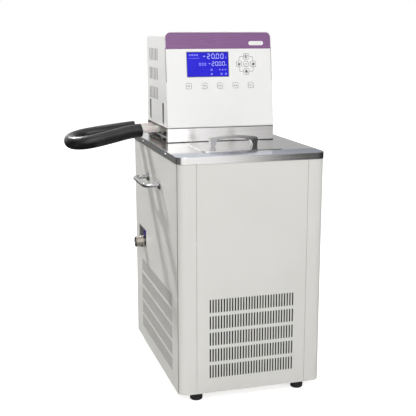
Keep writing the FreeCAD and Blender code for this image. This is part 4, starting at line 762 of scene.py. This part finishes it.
complete(join_pieces("key_print", prints), key_grey, "control_film")

dots = []
for across, up in PAD_SPOTS:
    deselect()
    bpy.ops.mesh.primitive_circle_add(vertices=12, radius=DOT_RADIUS, fill_type="NGON",
                                      rotation=(math.pi / 2, 0, 0))
    dot = thicken(settle(named("pad_dot")), PRINT_DEPTH)
    dots.append(on_face(dot, PAD_X + PAD_REACH * across, PAD_UP + PAD_REACH * up, KEY_FACE))
complete(join_pieces("pad_dots", dots), key_purple, "control_film")

tab_white = finish_material(
    "tab_white", (0.93, 0.93, 0.92), (0.90, 0.90, 0.89),
    gloss=0.3, grain=500.0, depth=0.00005)
tab = flat_plate("band_tab", TAB_WIDTH, TAB_HEIGHT, TAB_ROUND, corner_steps=8)
on_face(thicken(tab, PRINT_DEPTH), TAB_X, TAB_UP, FILM_FACE - PRINT_DEPTH)
complete(tab, tab_white, "control_film")

# Display: a backlit blue liquid crystal panel behind the film's window, with pale figures.
# The first row is the bath's temperature and the second is the set value.
# A green circuit board carries it, and a second board drives the keys.

DISPLAY_X = -0.0283
DISPLAY_UP = 0.146
DISPLAY_WIDTH = 0.101
DISPLAY_HEIGHT = 0.057
EDGE_MARGIN = 0.0018
EDGE_ROUND = 0.0012
EDGE_LINE = 0.0015
HEXAGON_HEIGHT = 0.866
FIGURE_WIDTH = 0.58
BAR_THICK = 0.11
BAR_REACH = 0.95
POINT_PLACE = 2.5
MARK_CORNER = 0.2
MARK_LINE = 0.3
SEGMENTS = {"0": "abcdef", "2": "abged", "-": "g"}
MARKS = [
    (-0.0430, 0.0217, 0.0040, 0.0040), (-0.0370, 0.0217, 0.0040, 0.0040),
    (-0.0310, 0.0217, 0.0040, 0.0040), (-0.0250, 0.0217, 0.0040, 0.0040),
    (-0.0330, 0.0143, 0.0250, 0.0012), (-0.0190, 0.0003, 0.0040, 0.0070),
    (-0.0125, 0.0003, 0.0040, 0.0070), (-0.0060, 0.0003, 0.0040, 0.0070),
    (0.0440, 0.0155, 0.0030, 0.0030), (0.0450, -0.0020, 0.0026, 0.0026),
    (0.0090, -0.0125, 0.0046, 0.0046), (0.0290, -0.0125, 0.0040, 0.0030),
    (0.0360, -0.0125, 0.0040, 0.0030), (0.0430, -0.0125, 0.0040, 0.0030),
    (0.0090, -0.0225, 0.0046, 0.0046), (0.0330, -0.0222, 0.0046, 0.0040),
    (0.0440, -0.0222, 0.0046, 0.0040),
]


def lit(name, low, high, glow):
    """A backlit colour of the display."""
    material, tree, shader = new_material(name)
    tone = mix(tree, noise(tree, coordinates(tree), 20.0), low, high, "RGBA")
    tree.links.new(tone, shader.inputs["Base Color"])
    tree.links.new(tone, shader.inputs["Emission Color"])
    shader.inputs["Emission Strength"].default_value = glow
    shader.inputs["Roughness"].default_value = 0.25
    shader.inputs["Specular IOR Level"].default_value = 0.15
    return material


display_blue = lit("display_blue", (0.016, 0.012, 0.50), (0.022, 0.016, 0.56), 0.32)
figure_white = lit("figure_white", (0.60, 0.66, 0.95), (0.66, 0.72, 1.0), 0.30)
mark_blue = lit("mark_blue", (0.20, 0.22, 0.80), (0.26, 0.28, 0.88), 0.28)
finish(display_blue, "display_lens")


def segment(length, thick, x, up, upright):
    """One bar of a figure, pointed at both ends."""
    deselect()
    bpy.ops.mesh.primitive_circle_add(vertices=6, radius=0.5, fill_type="NGON",
                                      rotation=(math.pi / 2, 0, 0))
    bar = settle(named("segment"))
    bar.scale = (length, 1, thick / HEXAGON_HEIGHT)
    settle(bar)
    bar.rotation_euler.y = math.pi / 2 if upright else 0
    bar.location = (x, 0, up)
    return settle(bar)


def figures(text, x, up, height, pitch):
    """A row of seven-segment figures; the first stands at x."""
    width, half, thick = height * FIGURE_WIDTH, height / 2, height * BAR_THICK
    places = {
        "a": (0, half, False), "g": (0, 0, False), "d": (0, -half, False),
        "b": (width / 2, half / 2, True), "c": (width / 2, -half / 2, True),
        "e": (-width / 2, -half / 2, True), "f": (-width / 2, half / 2, True),
    }
    bars = []
    for place, figure in enumerate(text):
        for name in SEGMENTS[figure]:
            across, rise, upright = places[name]
            length = (half if upright else width) * BAR_REACH
            bars.append(segment(length, thick, x + pitch * place + across, up + rise, upright))
    dot = flat_plate("point", thick, thick)
    dot.location = (x + pitch * POINT_PLACE, 0, up - half)
    bars.append(settle(dot))
    return bars


bath_row = figures("-2000", x=-0.0083, up=0.0187, height=0.0106, pitch=0.0109)
set_row = figures("-2000", x=0.0042, up=0.0014, height=0.0090, pitch=0.0086)
figure_print = join_pieces("figure_print", bath_row + set_row)
thicken(figure_print, PRINT_DEPTH)
on_face(figure_print, DISPLAY_X, DISPLAY_UP, -PRINT_DEPTH)
complete(figure_print, figure_white, "display")

marks = []
for x, up, width, height in MARKS:
    small = min(width, height)
    mark = outline("mark", width, height, small * MARK_CORNER, small * MARK_LINE, PRINT_DEPTH)
    mark.location = (x, 0, up)
    marks.append(settle(mark))
mark_print = join_pieces("mark_print", marks)
on_face(mark_print, DISPLAY_X, DISPLAY_UP, -PRINT_DEPTH)
complete(mark_print, mark_blue, "display")

edge = outline("display_edge", DISPLAY_WIDTH + EDGE_MARGIN, DISPLAY_HEIGHT + EDGE_MARGIN,
               EDGE_ROUND, EDGE_LINE, PRINT_DEPTH)
on_face(edge, DISPLAY_X, DISPLAY_UP, FILM_FACE - PRINT_DEPTH / 2)
complete(edge, key_grey, "control_film")

circuit_green = finish_material(
    "circuit_green", (0.03, 0.16, 0.06), (0.02, 0.12, 0.05),
    gloss=0.45, grain=400.0, depth=0.0002)
finish(circuit_green, "display_module", "control_board")

# Hose loop: silicone tube pushed over both ports, which closes the circuit outside the cabinet.
# A black foam sleeve insulates it, slit open, closed round the tube and glued along the slit.
# The tube shows bare between the sleeve's ends and the collar.

HOSE_ROUTE = [
    (-0.1040, 0.1050, 0.5715), (-0.1430, 0.1050, 0.5715), (-0.2000, 0.1040, 0.5660),
    (-0.2520, 0.0980, 0.5545), (-0.3050, 0.0920, 0.5445), (-0.3370, 0.1250, 0.5405),
    (-0.3370, 0.1710, 0.5435), (-0.3050, 0.2040, 0.5490), (-0.2520, 0.1990, 0.5570),
    (-0.2000, 0.1810, 0.5655), (-0.1460, 0.1700, 0.5715), (-0.1040, 0.1700, 0.5715),
]
TUBE_RADIUS = 0.008
FOAM_RADIUS = 0.016
FOAM_GAP = 0.0003
FOAM_LIP = 0.0035
FOAM_STARTS_X = -0.170
FOAM_ENDS_X = -0.171

silicone, tree, shader = new_material("silicone_tube")
where = coordinates(tree)
cloud = mix(tree, noise(tree, where, 60.0), (0.84, 0.79, 0.75), (0.93, 0.91, 0.89), "RGBA")
tree.links.new(cloud, shader.inputs["Base Color"])
shader.inputs["Roughness"].default_value = 0.25
shader.inputs["Transmission Weight"].default_value = 0.3
shader.inputs["Subsurface Weight"].default_value = 0.3
shader.inputs["Subsurface Scale"].default_value = 0.004
bump(tree, shader, noise(tree, where, 900.0), 0.2, 0.0001)

foam, tree, shader = new_material("black_foam")
where = coordinates(tree)
tone = mix(tree, noise(tree, where, 40.0), (0.006, 0.006, 0.007), (0.012, 0.012, 0.013), "RGBA")
tree.links.new(tone, shader.inputs["Base Color"])
sheen = mix(tree, noise(tree, where, 90.0), 0.30, 0.38)
tree.links.new(sheen, shader.inputs["Roughness"])
shader.inputs["Specular IOR Level"].default_value = 0.3
cells = tree.nodes.new("ShaderNodeTexVoronoi")
cells.inputs["Scale"].default_value = 1400.0
tree.links.new(where, cells.inputs["Vector"])
bump(tree, shader, cells.outputs["Distance"], 0.25, 0.0003)

hose_curve = bpy.data.curves.new("silicone_hose", "CURVE")
hose_curve.dimensions = "3D"
spline = hose_curve.splines.new("NURBS")
spline.points.add(len(HOSE_ROUTE) - 1)
for knot, place in zip(spline.points, HOSE_ROUTE):
    knot.co = (*place, 1)
spline.order_u = 3
spline.use_endpoint_u = True
spline.resolution_u = 12
hose = bpy.data.objects.new("silicone_hose", hose_curve)
scene.collection.objects.link(hose)
hose_line = [vertex.co.copy() for vertex in bpy.data.meshes.new_from_object(hose).vertices]
hose_curve.bevel_depth = TUBE_RADIUS
hose_curve.bevel_resolution = 8
hose_curve.use_fill_caps = True
hose_curve.materials.append(silicone)
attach(hose, "cabinet")
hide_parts("clear_tube")

first = next(i for i, place in enumerate(hose_line) if place.x < FOAM_STARTS_X)
last = max(i for i, place in enumerate(hose_line) if place.x < FOAM_ENDS_X)
covered = hose_line[first:last + 1]
sleeve_curve = bpy.data.curves.new("foam_sleeve", "CURVE")
sleeve_curve.dimensions = "3D"
run = sleeve_curve.splines.new("POLY")
run.points.add(len(covered) - 1)
for knot, place in zip(run.points, covered):
    knot.co = (*place, 1)
sleeve_curve.bevel_depth = FOAM_RADIUS
sleeve_curve.bevel_resolution = 12
sleeve = bpy.data.objects.new("foam_sleeve", sleeve_curve)
scene.collection.objects.link(sleeve)
choose(sleeve)
bpy.ops.object.convert(target="MESH")
sleeve = named("foam_sleeve")
wall = sleeve.modifiers.new("wall", "SOLIDIFY")
wall.thickness = FOAM_RADIUS - TUBE_RADIUS - FOAM_GAP
wall.offset = -1
lip = sleeve.modifiers.new("lip", "BEVEL")
lip.width = FOAM_LIP
lip.segments = 4
lip.limit_method = "ANGLE"
lip.angle_limit = math.radians(60)
apply_modifiers(sleeve)
bpy.ops.object.shade_smooth_by_angle(angle=math.radians(50))
complete(sleeve, foam, "foam_rubber", "hose_insulation")
